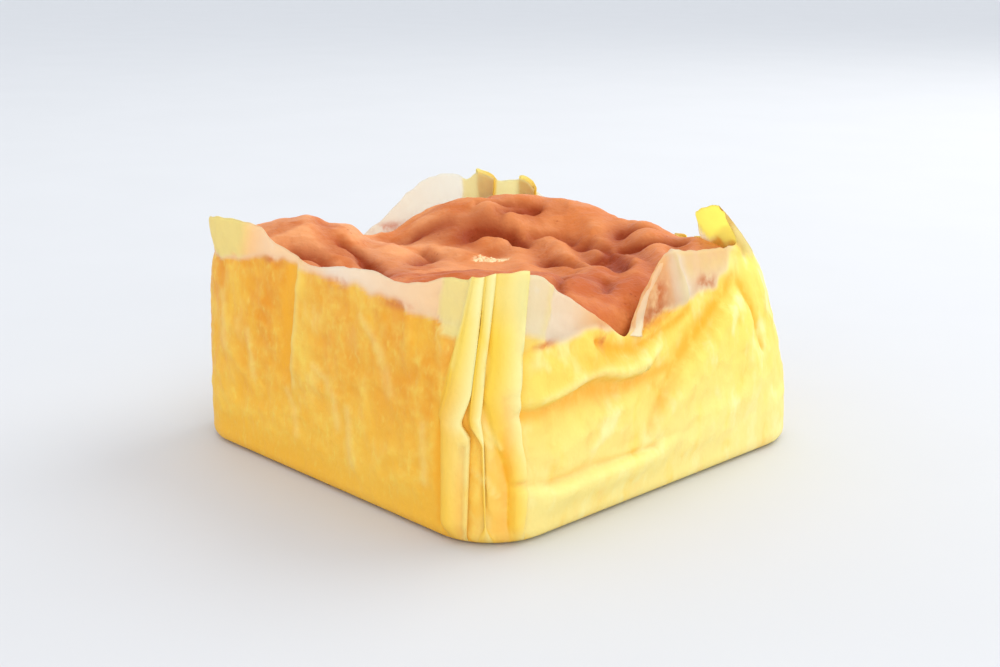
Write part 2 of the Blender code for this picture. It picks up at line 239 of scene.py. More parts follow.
# How far a tab's foot wavers up and down, and over what height the tab fades in.
TAB_WAVER, TAB_FADE = 1.8, 1.2

# Creases of the paper: their path as places and heights, how far they stand out, and how far
# their slopes reach to its left and to its right, seen from outside along the path.
CREASES = creases_from(
    (
        RIGHT_SIDE,
        # The great folds of the crumpled side.
        (
            ((-36, 23.2), (-30, 23.4), (-24, 25), (-18, 25.2), (-13, 24), (-7, 24), (-1, 26)),
            2.4, 7.5, 1.9,
        ),
        (((-36, 8.8), (-28, 7.5), (-21, 7.8), (-8, 7.6), (2, 9)), 1.5, 1.6, 7),
        (((-4.5, 11), (-1, 15.5), (3, 19.4), (12, 24.2), (19, 27.8), (27, 30.5)), 2.4, 2, 12),
        (((-32, 12.5), (-9, 20)), 1.2, 4, 8), (((10, 7), (30, 18)), 1.1, 6, 5),
        # The lesser ones between them.
        (((-27, 15), (-20, 21)), 0.5, 3, 4), (((-13, 11.5), (-9, 21)), 0.6, 3, 2.5),
        (((4, 6), (16, 13)), 0.6, 3, 3), (((22, 21), (28, 29)), 0.7, 3, 3),
        (((24, 8), (27, 24)), 0.5, 3, 3), (((7.5, 41), (8, 31.5)), 1.2, 2.5, 2),
        (((20, 39.5), (17, 33)), 0.6, 2.5, 2.5),
    ),
    (
        FRONT_SIDE, (((-5.2, 40.5), (-6.2, 30), (-7.6, 15)), 1.2, 8, 0.9),
        (((-24, 36), (-28, 8)), 0.5, 3, 7), (((23.8, 35), (23.9, 25)), 0.3, 1.5, 1.2),
        (((31.8, 35), (32.4, 30.5)), 0.5, 1.2, 1.2),
    ),
    (
        BACK_SIDE, (((-28, 20), (8, 27)), 1.4, 5, 4), (((2, 9), (26, 30)), 1.3, 4, 6),
        (((-20, 8), (-8, 22)), 0.8, 3, 3),
    ),
    (
        LEFT_SIDE, (((-26, 12), (10, 18)), 1.1, 4, 6), (((12, 30), (26, 8)), 1.2, 4, 5),
        (((-16, 34), (-6, 20)), 0.8, 2.5, 3.5),
    ),
)

# Lines along which the paper is pressed towards the sponge and coloured deeper, partly as wet contact
# and partly as painted shade: places, heights and half widths.
GROOVES = paths_from(
    (
        RIGHT_SIDE,
        (
            (-37, 21.4, 1.2), (-30, 21.2, 1.3), (-25, 22, 1.7), (-20, 22.2, 1.9), (-13, 21.2, 1.6),
            (-6, 21.4, 1.4), (0.5, 22, 1.3),
        ),
        (
            (-5.4, 11.5, 0.7), (-4.2, 14, 1), (-2.4, 16.3, 1.1), (-0.4, 18.8, 1.6), (2, 21.8, 1.8),
            (7, 25, 2.2), (14, 28.4, 2.2), (20, 31.2, 1.8), (26, 34, 1),
        ),
        (
            (-37, 10.8, 0.5), (-30, 9.3, 0.6), (-23.5, 9.3, 1.1), (-20.5, 9.6, 1.2), (-14, 9.2, 0.6),
            (-4, 9.2, 0.6),
        ),
        ((-5, 21.5, 0.8), (-0.6, 17.5, 0.7)),
        (
            (-18.5, 30, 0.8), (-15.5, 27.8, 1.9), (-9, 26.9, 1.6), (-4.5, 27.6, 1.1), (3, 29, 1),
            (9, 30.6, 0.8),
        ),
        ((-5.4, 29.2, 0.9), (-1, 30, 1.1), (4, 31.4, 0.7)),
        ((27.5, 32.5, 1.6), (28.5, 27, 1.2), (29, 20, 0.8)),
        ((-38, 3, 1.6), (-37.6, 18, 1.3), (-37.4, 24, 1.2)), ((16, 0.6, 1), (30, 1.4, 1.2)),
    ),
    (FRONT_SIDE, ((-7.8, 38, 1.6), (-8.8, 30, 2.4), (-10, 19, 1.6))),
    (
        NEAR_CORNER, ((-8.9, 3, 0.7), (-8.9, 14, 0.9), (-8.4, 20, 0.5)),
        ((-4.6, 2, 0.6), (-4.4, 12, 0.6), (-3.9, 16.5, 0.4)),
    ),
)

# Thin lines along which the paper stands out, with a painted highlight along them: places, heights,
# half widths.
FOLDS = paths_from(
    (
        NEAR_CORNER, ((-2, 21.4, 0.4), (-0.3, 19.2, 0.7), (1.6, 16.6, 0.4)),
        ((-2.4, 19.5, 0.4), (0.4, 16.6, 0.5)), ((-2.6, 12.8, 0.3), (-0.5, 11, 0.5), (1, 8.6, 0.3)),
        ((-6, 38, 0.4), (-5, 33, 0.7), (-5.6, 29, 0.4)),
        ((11.5, 42.5, 0.5), (9.8, 36, 0.6), (7.4, 29, 0.9)),
    ),
    (
        FRONT_SIDE, ((-5, 39, 0.8), (-6, 30, 0.9), (-7.2, 17, 0.6)),
        ((-1.5, 22, 0.5), (2, 20, 0.8), (4.3, 17.5, 0.7)), ((4.3, 17.5, 0.6), (5, 12.5, 1)),
        ((11.5, 33, 0.6), (15, 30, 0.9), (17.3, 27, 1.1), (19, 21.5, 1.2)),
        ((-9.5, 15.5, 0.7), (-7, 12, 0.9), (-6.6, 8, 0.8)), ((-22, 24, 0.8), (-20, 16, 1)),
        ((-30, 30, 0.8), (-29, 20, 1)), ((8, 16, 0.8), (9, 7, 1)), ((27.5, 18, 0.8), (28, 9, 1)),
    ),
    (
        RIGHT_SIDE, ((7.5, 40.6, 0.4), (8, 33, 0.8)), ((12, 37.5, 2.4), (28, 37, 2.4)),
        ((8.5, 40.5, 0.7), (15, 39.4, 0.8), (25, 38.5, 0.9), (31, 38.2, 0.8)),
        (
            (-32, 23.6, 0.4), (-24, 25.3, 0.6), (-18, 25.5, 0.6), (-13, 24.3, 0.6), (-7, 24.4, 0.6),
            (-1, 26.2, 0.4),
        ),
        ((-20, 12.5, 0.7), (-16, 15.5, 0.9), (-14, 18, 0.7)),
    ),
    (LEFT_SIDE, ((2, 26, 0.5), (6, 16, 0.7)), ((-22, 24, 0.5), (-18, 10, 0.6))),
    (BACK_SIDE, ((14, 24, 0.5), (17, 12, 0.7))),
)

# Swells of the crust: x, y, height, long and short reach, and the way the long one points.
SWELLS = (
    (-31.5, -24, 5.1, 14, 10, 60), (-23.5, 22, 4.8, 11, 12, 45),
    (-11, 34, 1.6, 11, 7, 40), (-30.5, 14, 2, 4.6, 9, 45),
    (-37, 5, -2.2, 4, 8, 45), (0, 33, 2, 34, 7, 0),
    (20, -22, 2.8, 22, 12, 45), (-10, -31, -2, 11, 4.5, 80),
    (-29, -4, -2.8, 13, 6.5, 10), (41, -9, -3.2, 13, 9, 90),
    (-18.5, 16.5, 1, 7, 2.2, 45), (24, 18, 1, 9, 4, -35),
)

# Sets of wrinkles: middle x and y, reach, the way they run, spacing and height.
WRINKLES = ((15.5, 19, 20, -38, 10.5, 1.1), (-18, 10, 16, 8, 10, 0.8), (-25, -14, 12, -30, 10, 0.6))

# Small folds and cracks of the skin: from x, y to x, y, depth and half width.
CRACKS = (
    (-18, 11, -13, 15, 3, 1.8), (-29, 4, -19, 9, 1.3, 2.2), (-12, 17, -7, 13, 1.5, 1.3),
    (-18, 18, -15, 25, 1.4, 1.4), (-24, 17, -15, 26, 0.9, 1.2), (-8, 19, -1, 22, 1.3, 1.6),
    (6, 10, 16, 8, 1.7, 1.8), (4, 22, 11, 20, 1.6, 2), (13, 17, 27, 10, 2.3, 1.9),
    (21, 27, 25, 33, 2, 1.8), (15, 23, 20, 26, 1.8, 1.7), (8, 30, 14, 34, 1.5, 1.6),
    (21, -6, 32, -16, 1.2, 1.2), (30, -2, 35, -6, 0.9, 1.6), (-13, -22, -4, -28, 1.6, 1.8),
    (-4, -28, 7, -34, 1.2, 1.6), (-20, -3, -10, -12, 1.3, 1.6), (-21, -22, -14, -21, 1.6, 1.5),
    (-23, -32, -14, -30, 1.5, 1.8), (-35, 20, -30, 24, 1, 1.6),
)

# How far noise bends the cracks, and its scale. Round each crack the skin sinks in a shallow
# halo, which is this many times as wide as the crack and this share as deep.
CRACK_BEND, CRACK_BEND_SCALE = 1.8, 0.13
HALO_WIDTH, HALO_DEPTH = 2.4, 0.15
# Low bumps and, in patches, flat dents of the crust: their height or depth, and their scale.
BUMP_HEIGHT, BUMP_SCALE = 0.7, 0.09
DENT_DEPTH, DENT_SCALE = 0.5, 0.11

# The rim is the mean over these steps round the case, which rounds it where it turns.
RIM_STEPS = (-0.8, -0.3, 0.3, 0.8)


# --------------------------------------------------------------------------- settings


def linear(hex_colour):
    """An sRGB hex colour as linear red, green and blue."""
    parts = [int(hex_colour[k : k + 2], 16) / 255 for k in (0, 2, 4)]
    return tuple(p / 12.92 if p <= 0.04045 else ((p + 0.055) / 1.055) ** 2.4 for p in parts)


def tint(name, description, hex_colour):
    """A colour property."""
    return FloatVectorProperty(
        name=name,
        description=description,
        default=linear(hex_colour),
        subtype="COLOR",
        min=0.0,
        max=1.0,
        size=3,
    )


def angle(name, description, degrees):
    """An angle property."""
    default = math.radians(degrees)
    return FloatProperty(name=name, description=description, default=default, subtype="ANGLE")


def length(name, description, millimetres):
    """A length property, held in metres."""
    return FloatProperty(
        name=name,
        description=description,
        default=millimetres * MM,
        min=0.0,
        subtype="DISTANCE",
        unit="LENGTH",
        precision=5,
    )


class CakeSettings(bpy.types.PropertyGroup):
    crust_height: length("Crust height", "Height of the crust at its edge", 36.0)
    sunk_middle: length("Sunk middle", "How far the middle has sunk", 3.2)
    shoulder: length("Shoulder", "Round of the crust's edge", 6.0)
    clearance: length("Clearance", "Gap between the cake and the paper's middle", 0.4)
    skin_relief: length("Skin relief", "Height of the crust's fine folds", 0.45)
    skin_size: length("Skin fold size", "Size of the crust's fine folds", 5.0)
    grain_relief: length("Grain relief", "Height of the crust's grain", 0.15)
    crumb_size: length("Crumb size", "Size of the loose crumbs at the split", 0.55)
    crumb_seed: IntProperty(name="Crumb seed", description="Placing of the crumbs", default=4)
    crust: tint("Crust", "Browned crust", "D67B3C")
    # Browner crust, also used as painted shade towards the near corner and along the edges by the
    # paper.
    darker_and_shaded: tint("Dark crust", "Crust that browned more", "BE5C20")
    # Painted shade in the crust's cracks, dents and pores, and in patches of its browner part.
    hollow: tint("Hollow", "Darker crust in the wrinkles", "9A3B0C")
    # Paler crust: its own mottling, and painted light on the left corner's mound; also the crumbs'
    # specks.
    pale: tint("Pale crust", "Paler crust on the swells", "EDA56C")
    sponge: tint("Sponge", "Soft yellow inside", "F3CF6A")
    crumb: tint("Crumb", "Pale crumb in the split", "F4D9A8")


class CaseSettings(bpy.types.PropertyGroup):
    thickness: length("Thickness", "Thickness of the paper", 0.1)
    crumple_height: length("Crumple height", "Height of the small crumples", 0.4)
    crumple_size: length("Crumple size", "Size of the small crumples", 7.0)
    crumple_seed: IntProperty(name="Crumple seed", description="Their pattern", default=2)
    soaked: tint("Soaked", "Paper that clings to the sponge", "F29A1E")
    soaked_pale: tint("Soaked, pale", "Its lighter parts near the foot", "FCBE3C")
    lifted: tint("Lifted", "Paper that stands off the sponge", "FDE26A")
    pleat: tint("Pleat", "The pleats' deep yellow", "FFD548")
    # Furrows: paper pressed onto the wet sponge, and partly painted shade under the creases.
    pressed: tint("Pressed", "Furrows pressed into the sponge", "FDB52E")
    # Also the tone of the painted highlights along folds, towards pleats' edges, on pleats' tops and
    # near the foot.
    edge: tint("Edge", "The pale folded edges", "FDF1A4")
    layered: tint("Layered", "Doubled paper at the rim", "F5E99A")
    free: tint("Free", "One layer of paper above the crust", "F7F6E8")
    warm: tint("Warm", "Free paper with some fat in it", "FFD68C")
    browned: tint("Browned", "Where the crust's edge shows through", "DE8440")


class StageSettings(bpy.types.PropertyGroup):
    lens: FloatProperty(name="Lens", description="Focal length", default=50.0, unit="CAMERA")
    distance: length("Distance", "From the camera to its aim", 266.0)
    aim_height: length("Aim height", "Height of the camera's aim", 19.7)
    turn: angle("Turn", "The camera's way round the cake", 46.22)
    rise: angle("Rise", "The camera's angle above the table", 15.36)
    window_power: FloatProperty(
        name="Window power", description="Power of the window", default=4.6, unit="POWER"
    )
    reflector_power: FloatProperty(
        name="Reflector power", description="Power of the reflector", default=4.5, unit="POWER"
    )
    sky_strength: FloatProperty(
        name="Sky strength", description="Strength of the light from all round", default=1.24
    )
    floor: tint("Floor", "Pale table", "D1D0CF")
    sky: tint("Sky", "Light from all round", "EDF3FC")


# ------------------------------------------------------------------------------ shape


def smooth(t):
    """0 below 0 and 1 above 1, with a soft step between."""
    t = np.clip(t, 0.0, 1.0)
    return t * t * (3 - 2 * t)


def above(value, start, span):
    """0 below a start and 1 this far above it, with a soft step between."""
    return smooth((value - start) / span)


def bell(away):
    """1 at 0, and falling softly to 0 on both sides: about a third at a distance of 1."""
    return np.exp(-(away**2))


def past(place, start):
    """How far a place is past another, the short way round the case."""
    return (place - start + AROUND / 2) % AROUND - AROUND / 2


def outline(place, out):
    """Points of the case's rounded square at these places, moved outwards by out."""
    corner = np.round(np.asarray(place) / QUARTER)
    along = place - corner * QUARTER
    on_arc = np.clip(along, -HALF_ARC, HALF_ARC)
    middle = np.radians(90 * corner - 45)
    turn = middle + on_arc / CORNER_RADIUS
    reach = (HALF - CORNER_RADIUS) * math.sqrt(2)
    straight = along - on_arc
    x = reach * np.cos(middle) + (CORNER_RADIUS + out) * np.cos(turn) - straight * np.sin(turn)
    y = reach * np.sin(middle) + (CORNER_RADIUS + out) * np.sin(turn) + straight * np.cos(turn)
    return x, y


def slumped(x, y, z):
    """Points after the block has narrowed upwards and its back right corner has sunk in."""
    narrow = 1 - TAPER / HALF * z / HEIGHT
    lean = np.maximum(0.0, (x + y) / SIDE) ** 2 * np.maximum(0.0, z / HEIGHT) ** SLUMP_CURVE
    shift = SLUMP * lean / math.sqrt(2)
    return np.stack([x * narrow - shift + MIDDLE_X, y * narrow - shift + MIDDLE_Y, z], -1)


def noise_at(x, y, z, scale):
    """Smooth noise at points, from about -1 to 1."""
    points = np.stack(np.broadcast_arrays(x, y, z), -1).reshape(-1, 3) * scale
    values = [noise.noise(Vector(point)) for point in points.tolist()]
    return np.array(values).reshape(np.broadcast(x, y, z).shape)


def swell(x, y, middle_x, middle_y, height, long_reach, short_reach, degrees):
    """A rounded hump, longer one way than the other."""
    turn = math.radians(degrees)
    dx, dy = x - middle_x, y - middle_y
    along = (dx * math.cos(turn) + dy * math.sin(turn)) / long_reach
    across = (dy * math.cos(turn) - dx * math.sin(turn)) / short_reach
    return height * bell(along) * bell(across)


def wrinkle(x, y, middle_x, middle_y, reach, degrees, spacing, height):
    """A set of soft ridges side by side, which wander and fade towards its ends."""
    turn = math.radians(degrees)
    wander = noise_at(x, y, spacing, 0.05)
    across = (y - middle_y) * math.cos(turn) - (x - middle_x) * math.sin(turn)
    away = np.hypot(x - middle_x, y - middle_y) / reach
    ridge = np.cos(2 * math.pi * (across / spacing + 0.5 * wander))
    return height * ridge * np.exp(-(away**4))


def crack(x, y, start_x, start_y, end_x, end_y, depth, half_width):
    """How deep a short groove of the skin is at points."""
    run, rise = end_x - start_x, end_y - start_y
    span = math.hypot(run, rise)
    along = np.clip(((x - start_x) * run + (y - start_y) * rise) / span**2, 0, 1)
    bend = 0.1 * span * np.sin(math.pi * along)
    near_x = start_x + run * along - rise / span * bend
    near_y = start_y + rise * along + run / span * bend
    away = np.hypot(x - near_x, y - near_y) / half_width
    return depth * bell(away)


def crust(x, y, settings):
    """Heights of the crust, and the painted shade of its cracks and dents."""
    away = np.minimum(1.0, np.hypot(x, y) / HALF)
    sunk = settings.sunk_middle / MM * (1 - smooth(away * 1.1))
    height = settings.crust_height / MM - sunk
    height = height + sum(swell(x, y, *one) for one in SWELLS)
    folds = sum(wrinkle(x, y, *one) for one in WRINKLES)
    bent_x = x + CRACK_BEND * noise_at(x, y, 5.0, CRACK_BEND_SCALE)
    bent_y = y + CRACK_BEND * noise_at(x, y, 9.0, CRACK_BEND_SCALE)
    cracks = sum(crack(bent_x, bent_y, *one) for one in CRACKS)
    halo = sum(crack(bent_x, bent_y, *one[:5], HALO_WIDTH * one[5]) for one in CRACKS)
    dent = above(noise_at(x, y, 2.0, DENT_SCALE), 0.05, 0.4)
    bumps = BUMP_HEIGHT * noise_at(x, y, 0.0, BUMP_SCALE)
    height = height + folds + bumps - cracks - HALO_DEPTH * halo - DENT_DEPTH * dent
    # Painted shade: the skin is darker in cracks and dents, and kept lighter on the tops of the folds.
    return height, np.clip(0.5 * cracks + 0.13 * halo + 0.28 * dent - 0.35 * folds, 0, 1)


def around(place, knots):
    """Values at places round the case, along straight lines between knots."""
    knots = sorted((at % AROUND, value) for at, value in knots)
    at = [knots[-1][0] - AROUND, *(k[0] for k in knots), knots[0][0] + AROUND]
    values = [knots[-1][1], *(k[1] for k in knots), knots[0][1]]
    return np.interp(place % AROUND, at, values)


def rim(place):
    """Heights of the paper's upper edge, slightly rounded where it turns."""
    return sum(around(place + step, RIM) for step in RIM_STEPS) / len(RIM_STEPS)


def beside(place, height, start, end):
    """How far points lie along a line as a share of it, how far away, and on which side."""
    run, rise = past(end[0], start[0]), end[1] - start[1]
    dx, dz = past(place, start[0]), height - start[1]
    along = (dx * run + dz * rise) / (run**2 + rise**2)
    held = np.clip(along, 0, 1)
    return along, np.hypot(dx - run * held, dz - rise * held), dz * run > dx * rise


def crease(place, height, path, stand, left, right):
    """How far the paper stands out near one crease, with straight slopes on both sides."""
    spans = [math.hypot(past(b[0], a[0]), b[1] - a[1]) for a, b in zip(path, path[1:])]
    nearest = np.full(np.shape(place), np.inf)
    across, gone = np.zeros(np.shape(place)), np.zeros(np.shape(place))
    before = 0.0
    for a, b, span in zip(path, path[1:], spans):
        along, away, on_left = beside(place, height, a, b)
        closer = away < nearest
        nearest = np.where(closer, away, nearest)
        across = np.where(closer, np.where(on_left, away, -away), across)
        gone = np.where(closer, (before + along * span) / sum(spans), gone)
        before += span
    slope = 1 - np.abs(across) / np.where(across > 0, left, right)
    ends = smooth(3 * np.minimum(gone, 1 - gone) + 0.3)
    return stand * np.maximum(0.0, slope) * ends


def crumple(place, height):
    """How far the paper stands off the cake's side."""
    return sum(crease(place, height, *one) for one in CREASES)


def lines(place, height, paths):
    """How near points lie to any of these lines: 1 on one, and 0 well past its half width."""
    most = np.zeros(np.shape(place))
    for path in paths:
        for a, b in zip(path, path[1:]):
            along, away, _ = beside(place, height, a, b)
            width = a[2] + (b[2] - a[2]) * np.clip(along, 0, 1)
            most = np.maximum(most, bell(away / width))
    return most


def spots(place, height, table):
    """How strongly each point lies in one of a table's soft oval spots, from 0 to 1."""
    strongest = np.zeros(np.shape(place))
    for middle, level, wide, tall in table:
        near = bell(past(place, middle) / wide) * bell((height - level) / tall)
        strongest = np.maximum(strongest, near)
    return strongest


def doubled(place, height):
    """How far the paper is doubled over into a flat tab, from 0 to 1, and its colour's share."""
    most, colour = np.zeros(np.shape(place)), np.zeros(np.shape(place))
    for left, right, foot, share, soft in TABS:
        start = left[0][1]
        low = np.interp(height, [z for z, _ in left], [past(at, start) for _, at in left])
        high = np.interp(height, [z for z, _ in right], [past(at, start) for _, at in right])
        here = past(place, start)
        inside = smooth((here - low) / soft + 0.5) * smooth((high - here) / soft + 0.5)
        ragged = foot + TAB_WAVER * noise_at(place, foot, 0.0, 0.45)
        inside = inside * above(height, ragged, TAB_FADE)
        most = np.maximum(most, inside)
        colour = np.maximum(colour, share * inside)
    return most, colour


# ------------------------------------------------------------------------------- mesh


def add_mesh(name, points, faces, attributes, material):
    """An object from points in millimetres, with point attributes."""
    mesh = bpy.data.meshes.new(name)
    mesh.from_pydata((points * MM).tolist(), [], faces)
    for key, values in attributes.items():
        layer = mesh.attributes.new(key, "FLOAT", "POINT")
        layer.data.foreach_set("value", np.asarray(values, np.float32).ravel())
    mesh.materials.append(material)
    mesh.shade_smooth()
    obj = bpy.data.objects.new(name, mesh)
    bpy.context.scene.collection.objects.link(obj)
    return obj


def bridge(lower, upper, count):
    """Faces between two closed rows of the same length, which start at these points."""
    return [
        (lower + k, lower + (k + 1) % count, upper + (k + 1) % count, upper + k)
        for k in range(count)
    ]


def grid_faces(index):
    """Faces between the points of a grid, whose numbers are given."""
    quads = np.stack([index[:-1, :-1], index[:-1, 1:], index[1:, 1:], index[1:, :-1]], -1)
    return list(map(tuple, quads.reshape(-1, 4).tolist()))


def settle(obj):
    """Makes the result of an object's modifiers its own plain mesh."""
    graph = bpy.context.evaluated_depsgraph_get()
    evaluated = obj.evaluated_get(graph)
    mesh = bpy.data.meshes.new_from_object(evaluated, preserve_all_data_layers=True, depsgraph=graph)
    obj.modifiers.clear()
    obj.data = mesh
    mesh.name = obj.name


def add_node(tree, kind, inputs=None, **settings):
    """Adds a node with its settings, and sets or links its inputs by name or number.

    A node that is given as an input is linked from its first output.
    """
    made = tree.nodes.new(kind)
    for key, value in settings.items():
        setattr(made, key, value)
    for key, value in (inputs or {}).items():
        if isinstance(value, bpy.types.Node):
            value = value.outputs[0]
        if isinstance(value, bpy.types.NodeSocket):
            tree.links.new(value, made.inputs[key])
        else:
            made.inputs[key].default_value = value
    return made


def add_tree_modifier(obj, tree, values):
    """Puts a Geometry Nodes tree on an object, with its named inputs set."""
    modifier = obj.modifiers.new(tree.name, "NODES")
    modifier.node_group = tree
    for item in tree.interface.items_tree:
        if item.item_type == "SOCKET" and item.name in values:
            modifier[item.identifier] = values[item.name]
    return modifier


# ---------------------------------------------------------------------- geometry nodes


def new_geometry_tree(name, numbers):
    """A Geometry Nodes tree with these named numbers as inputs, and the sockets that hold them."""
    tree = bpy.data.node_groups.new(name, "GeometryNodeTree")
    tree.is_modifier = True
    face = tree.interface
    for way in ("INPUT", "OUTPUT"):
        face.new_socket("Geometry", in_out=way, socket_type="NodeSocketGeometry")
    for label in numbers:
        kind = "NodeSocketInt" if label == "Seed" else "NodeSocketFloat"
        face.new_socket(label, in_out="INPUT", socket_type=kind)
    return tree, add_node(tree, "NodeGroupInput").outputs


def ridges(tree, place, size, seed, sharpness):
    """Adds nodes for creases: 1 along thin wandering lines, and falling to 0 between them."""
    scale = add_node(tree, "ShaderNodeMath", {0: 1.0, 1: size}, operation="DIVIDE")
    inputs = {"Vector": place, "W": seed, "Scale": scale, "Detail": 1.0}
    value = add_node(tree, "ShaderNodeTexNoise", inputs, noise_dimensions="4D")
    for operation, other in (("SUBTRACT", 0.5), ("ABSOLUTE", 0.0), ("MULTIPLY", sharpness)):
        value = add_node(tree, "ShaderNodeMath", {0: value, 1: other}, operation=operation)
    return add_node(tree, "ShaderNodeMath", {0: 1.0, 1: value}, operation="SUBTRACT", use_clamp=True)


def pushed_out(tree, geometry, amount):
    """Adds nodes that move a surface's points along its normals by this amount."""
    normal = add_node(tree, "GeometryNodeInputNormal")
    offset = add_node(tree, "ShaderNodeVectorMath", {0: normal, "Scale": amount}, operation="SCALE")
    return add_node(tree, "GeometryNodeSetPosition", {"Geometry": geometry, "Offset": offset})


def finished_tree(tree, geometry, material):
    """A tree that now ends with plain geometry, which carries its material."""
    real = add_node(tree, "GeometryNodeRealizeInstances", {"Geometry": geometry})
    dressed = add_node(tree, "GeometryNodeSetMaterial", {"Geometry": real, "Material": material})
    add_node(tree, "NodeGroupOutput", {"Geometry": dressed})
    return tree


def crumple_tree(material):
    """Small creases that stand out of a sheet of paper where it is loose.

    Smaller ones lie between them, closer together and less high by these shares.
    """
    closer, lower = 0.45, 0.35
    tree, start = new_geometry_tree("Paper Crumple", ("Height", "Size", "Seed"))
    place = add_node(tree, "GeometryNodeInputPosition")
    large = ridges(tree, place, start["Size"], start["Seed"], 5.0)
    size = add_node(tree, "ShaderNodeMath", {0: start["Size"], 1: closer}, operation="MULTIPLY")
    small = ridges(tree, place, size, start["Seed"], 6.0)
    small = add_node(tree, "ShaderNodeMath", {0: small, 1: lower}, operation="MULTIPLY")
    both = add_node(tree, "ShaderNodeMath", {0: large, 1: small}, operation="ADD")
    loose = add_node(tree, "GeometryNodeInputNamedAttribute", {"Name": "loose"}, data_type="FLOAT")
    loose = loose.outputs["Attribute"]
    stand = add_node(tree, "ShaderNodeMath", {0: both, 1: loose}, operation="MULTIPLY")
    height = add_node(tree, "ShaderNodeMath", {0: stand, 1: start["Height"]}, operation="MULTIPLY")
    kept = add_node(
        tree,
        "GeometryNodeStoreNamedAttribute",
        {"Geometry": pushed_out(tree, start["Geometry"], height), "Name": "creased", "Value": stand},
        data_type="FLOAT",
        domain="POINT",
    )
    return finished_tree(tree, kept, material)


def crust_tree(material):
    """Fine folds and grain of the crust's skin, upwards and downwards."""
    names = ("Fold Height", "Fold Size", "Grain Height", "Grain Size", "Seed")
    tree, start = new_geometry_tree("Crust Relief", names)
    place = add_node(tree, "GeometryNodeInputPosition")
    parts = []
    for kind, sharpness in (("Fold", 3.2), ("Grain", 2.5)):
        line = ridges(tree, place, start[kind + " Size"], start["Seed"], sharpness)
        swing = add_node(tree, "ShaderNodeMath", {0: line, 1: 0.5}, operation="SUBTRACT")
        inputs = {0: swing, 1: start[kind + " Height"]}
        parts.append(add_node(tree, "ShaderNodeMath", inputs, operation="MULTIPLY"))
    total = add_node(tree, "ShaderNodeMath", dict(enumerate(parts)), operation="ADD")
    top = add_node(tree, "GeometryNodeInputNamedAttribute", {"Name": "top"}, data_type="FLOAT")
    top = top.outputs["Attribute"]
    amount = add_node(tree, "ShaderNodeMath", {0: total, 1: top}, operation="MULTIPLY")
    return finished_tree(tree, pushed_out(tree, start["Geometry"], amount), material)


def crumb_tree(material):
    """Loose crumbs scattered over a surface where its crumb attribute is high.

    Each is a small ball made lumpy, turned at random, and a share of the crumb size.
    """
    tree, start = new_geometry_tree("Loose Crumbs", ("Crumb Size", "Density", "Seed"))
    seed = start["Seed"]
    crumb = add_node(tree, "GeometryNodeInputNamedAttribute", {"Name": "crumb"}, data_type="FLOAT")
    crumb = crumb.outputs["Attribute"]
    density = add_node(tree, "ShaderNodeMath", {0: crumb, 1: start["Density"]}, operation="MULTIPLY")
    points = add_node(
        tree,
        "GeometryNodeDistributePointsOnFaces",
        {"Mesh": start["Geometry"], "Density": density, "Seed": seed},
        distribute_method="RANDOM",
    )
    ball = add_node(tree, "GeometryNodeMeshIcoSphere", {"Radius": 1.0, "Subdivisions": 2})
    place = add_node(tree, "GeometryNodeInputPosition")
    lumps = add_node(tree, "ShaderNodeTexNoise", {"Vector": place, "Scale": 1.3}, noise_dimensions="3D")
    inputs = {0: lumps.outputs["Color"], 1: (0.5, 0.5, 0.5)}
    swing = add_node(tree, "ShaderNodeVectorMath", inputs, operation="SUBTRACT")
    uneven = add_node(tree, "GeometryNodeSetPosition", {"Geometry": ball, "Offset": swing})
    inputs = {"Min": (0.0, 0.0, 0.0), "Max": (6.28, 6.28, 6.28), "Seed": seed}
    turn = add_node(tree, "FunctionNodeRandomValue", inputs, data_type="FLOAT_VECTOR")
    inputs = {"Min": 0.25, "Max": 0.6, "Seed": seed}
    share = add_node(tree, "FunctionNodeRandomValue", inputs, data_type="FLOAT")
    inputs = {0: share.outputs["Value"], 1: start["Crumb Size"]}
    size = add_node(tree, "ShaderNodeMath", inputs, operation="MULTIPLY")
    crumbs = add_node(
        tree,
        "GeometryNodeInstanceOnPoints",
        {"Points": points, "Instance": uneven, "Rotation": turn.outputs["Value"], "Scale": size},
    )
    return finished_tree(tree, crumbs, material)


# --------------------------------------------------------------------------- materials


def new_material(name):
    """An empty material, its tree, and the socket that gives a point's place on the piece."""
    material = bpy.data.materials.new(name)
    material.use_nodes = True
    tree = material.node_tree
    tree.nodes.clear()
    return material, tree, add_node(tree, "ShaderNodeTexCoord").outputs["Object"]


def per_mm(size):
    """The scale of a pattern whose cells are this many millimetres across."""
    return 1 / (size * MM)


def clouds(tree, place, size, low, high, least=0.0, most=1.0):
    """Adds nodes for soft clouds this many millimetres across, between two values."""
    inputs = {"Vector": place, "Scale": per_mm(size), "Detail": 3.0, "Roughness": 0.55}
    cloud = add_node(tree, "ShaderNodeTexNoise", inputs)
    inputs = {"Value": cloud, 1: low, 2: high, 3: least, 4: most}
    return add_node(tree, "ShaderNodeMapRange", inputs, interpolation_type="SMOOTHSTEP")


def laid(tree, place, colour, tone, name, size, low, high):
    """Adds nodes that lay a tone over a colour, in clouds, where a point attribute says."""
    where = add_node(tree, "ShaderNodeAttribute", attribute_name=name)
    share = clouds(tree, place, size, low, high, 0.0, where.outputs["Fac"])
    inputs = {"Factor": share, 6: colour, 7: (*tone, 1.0)}
    return add_node(tree, "ShaderNodeMix", inputs, data_type="RGBA").outputs[2]


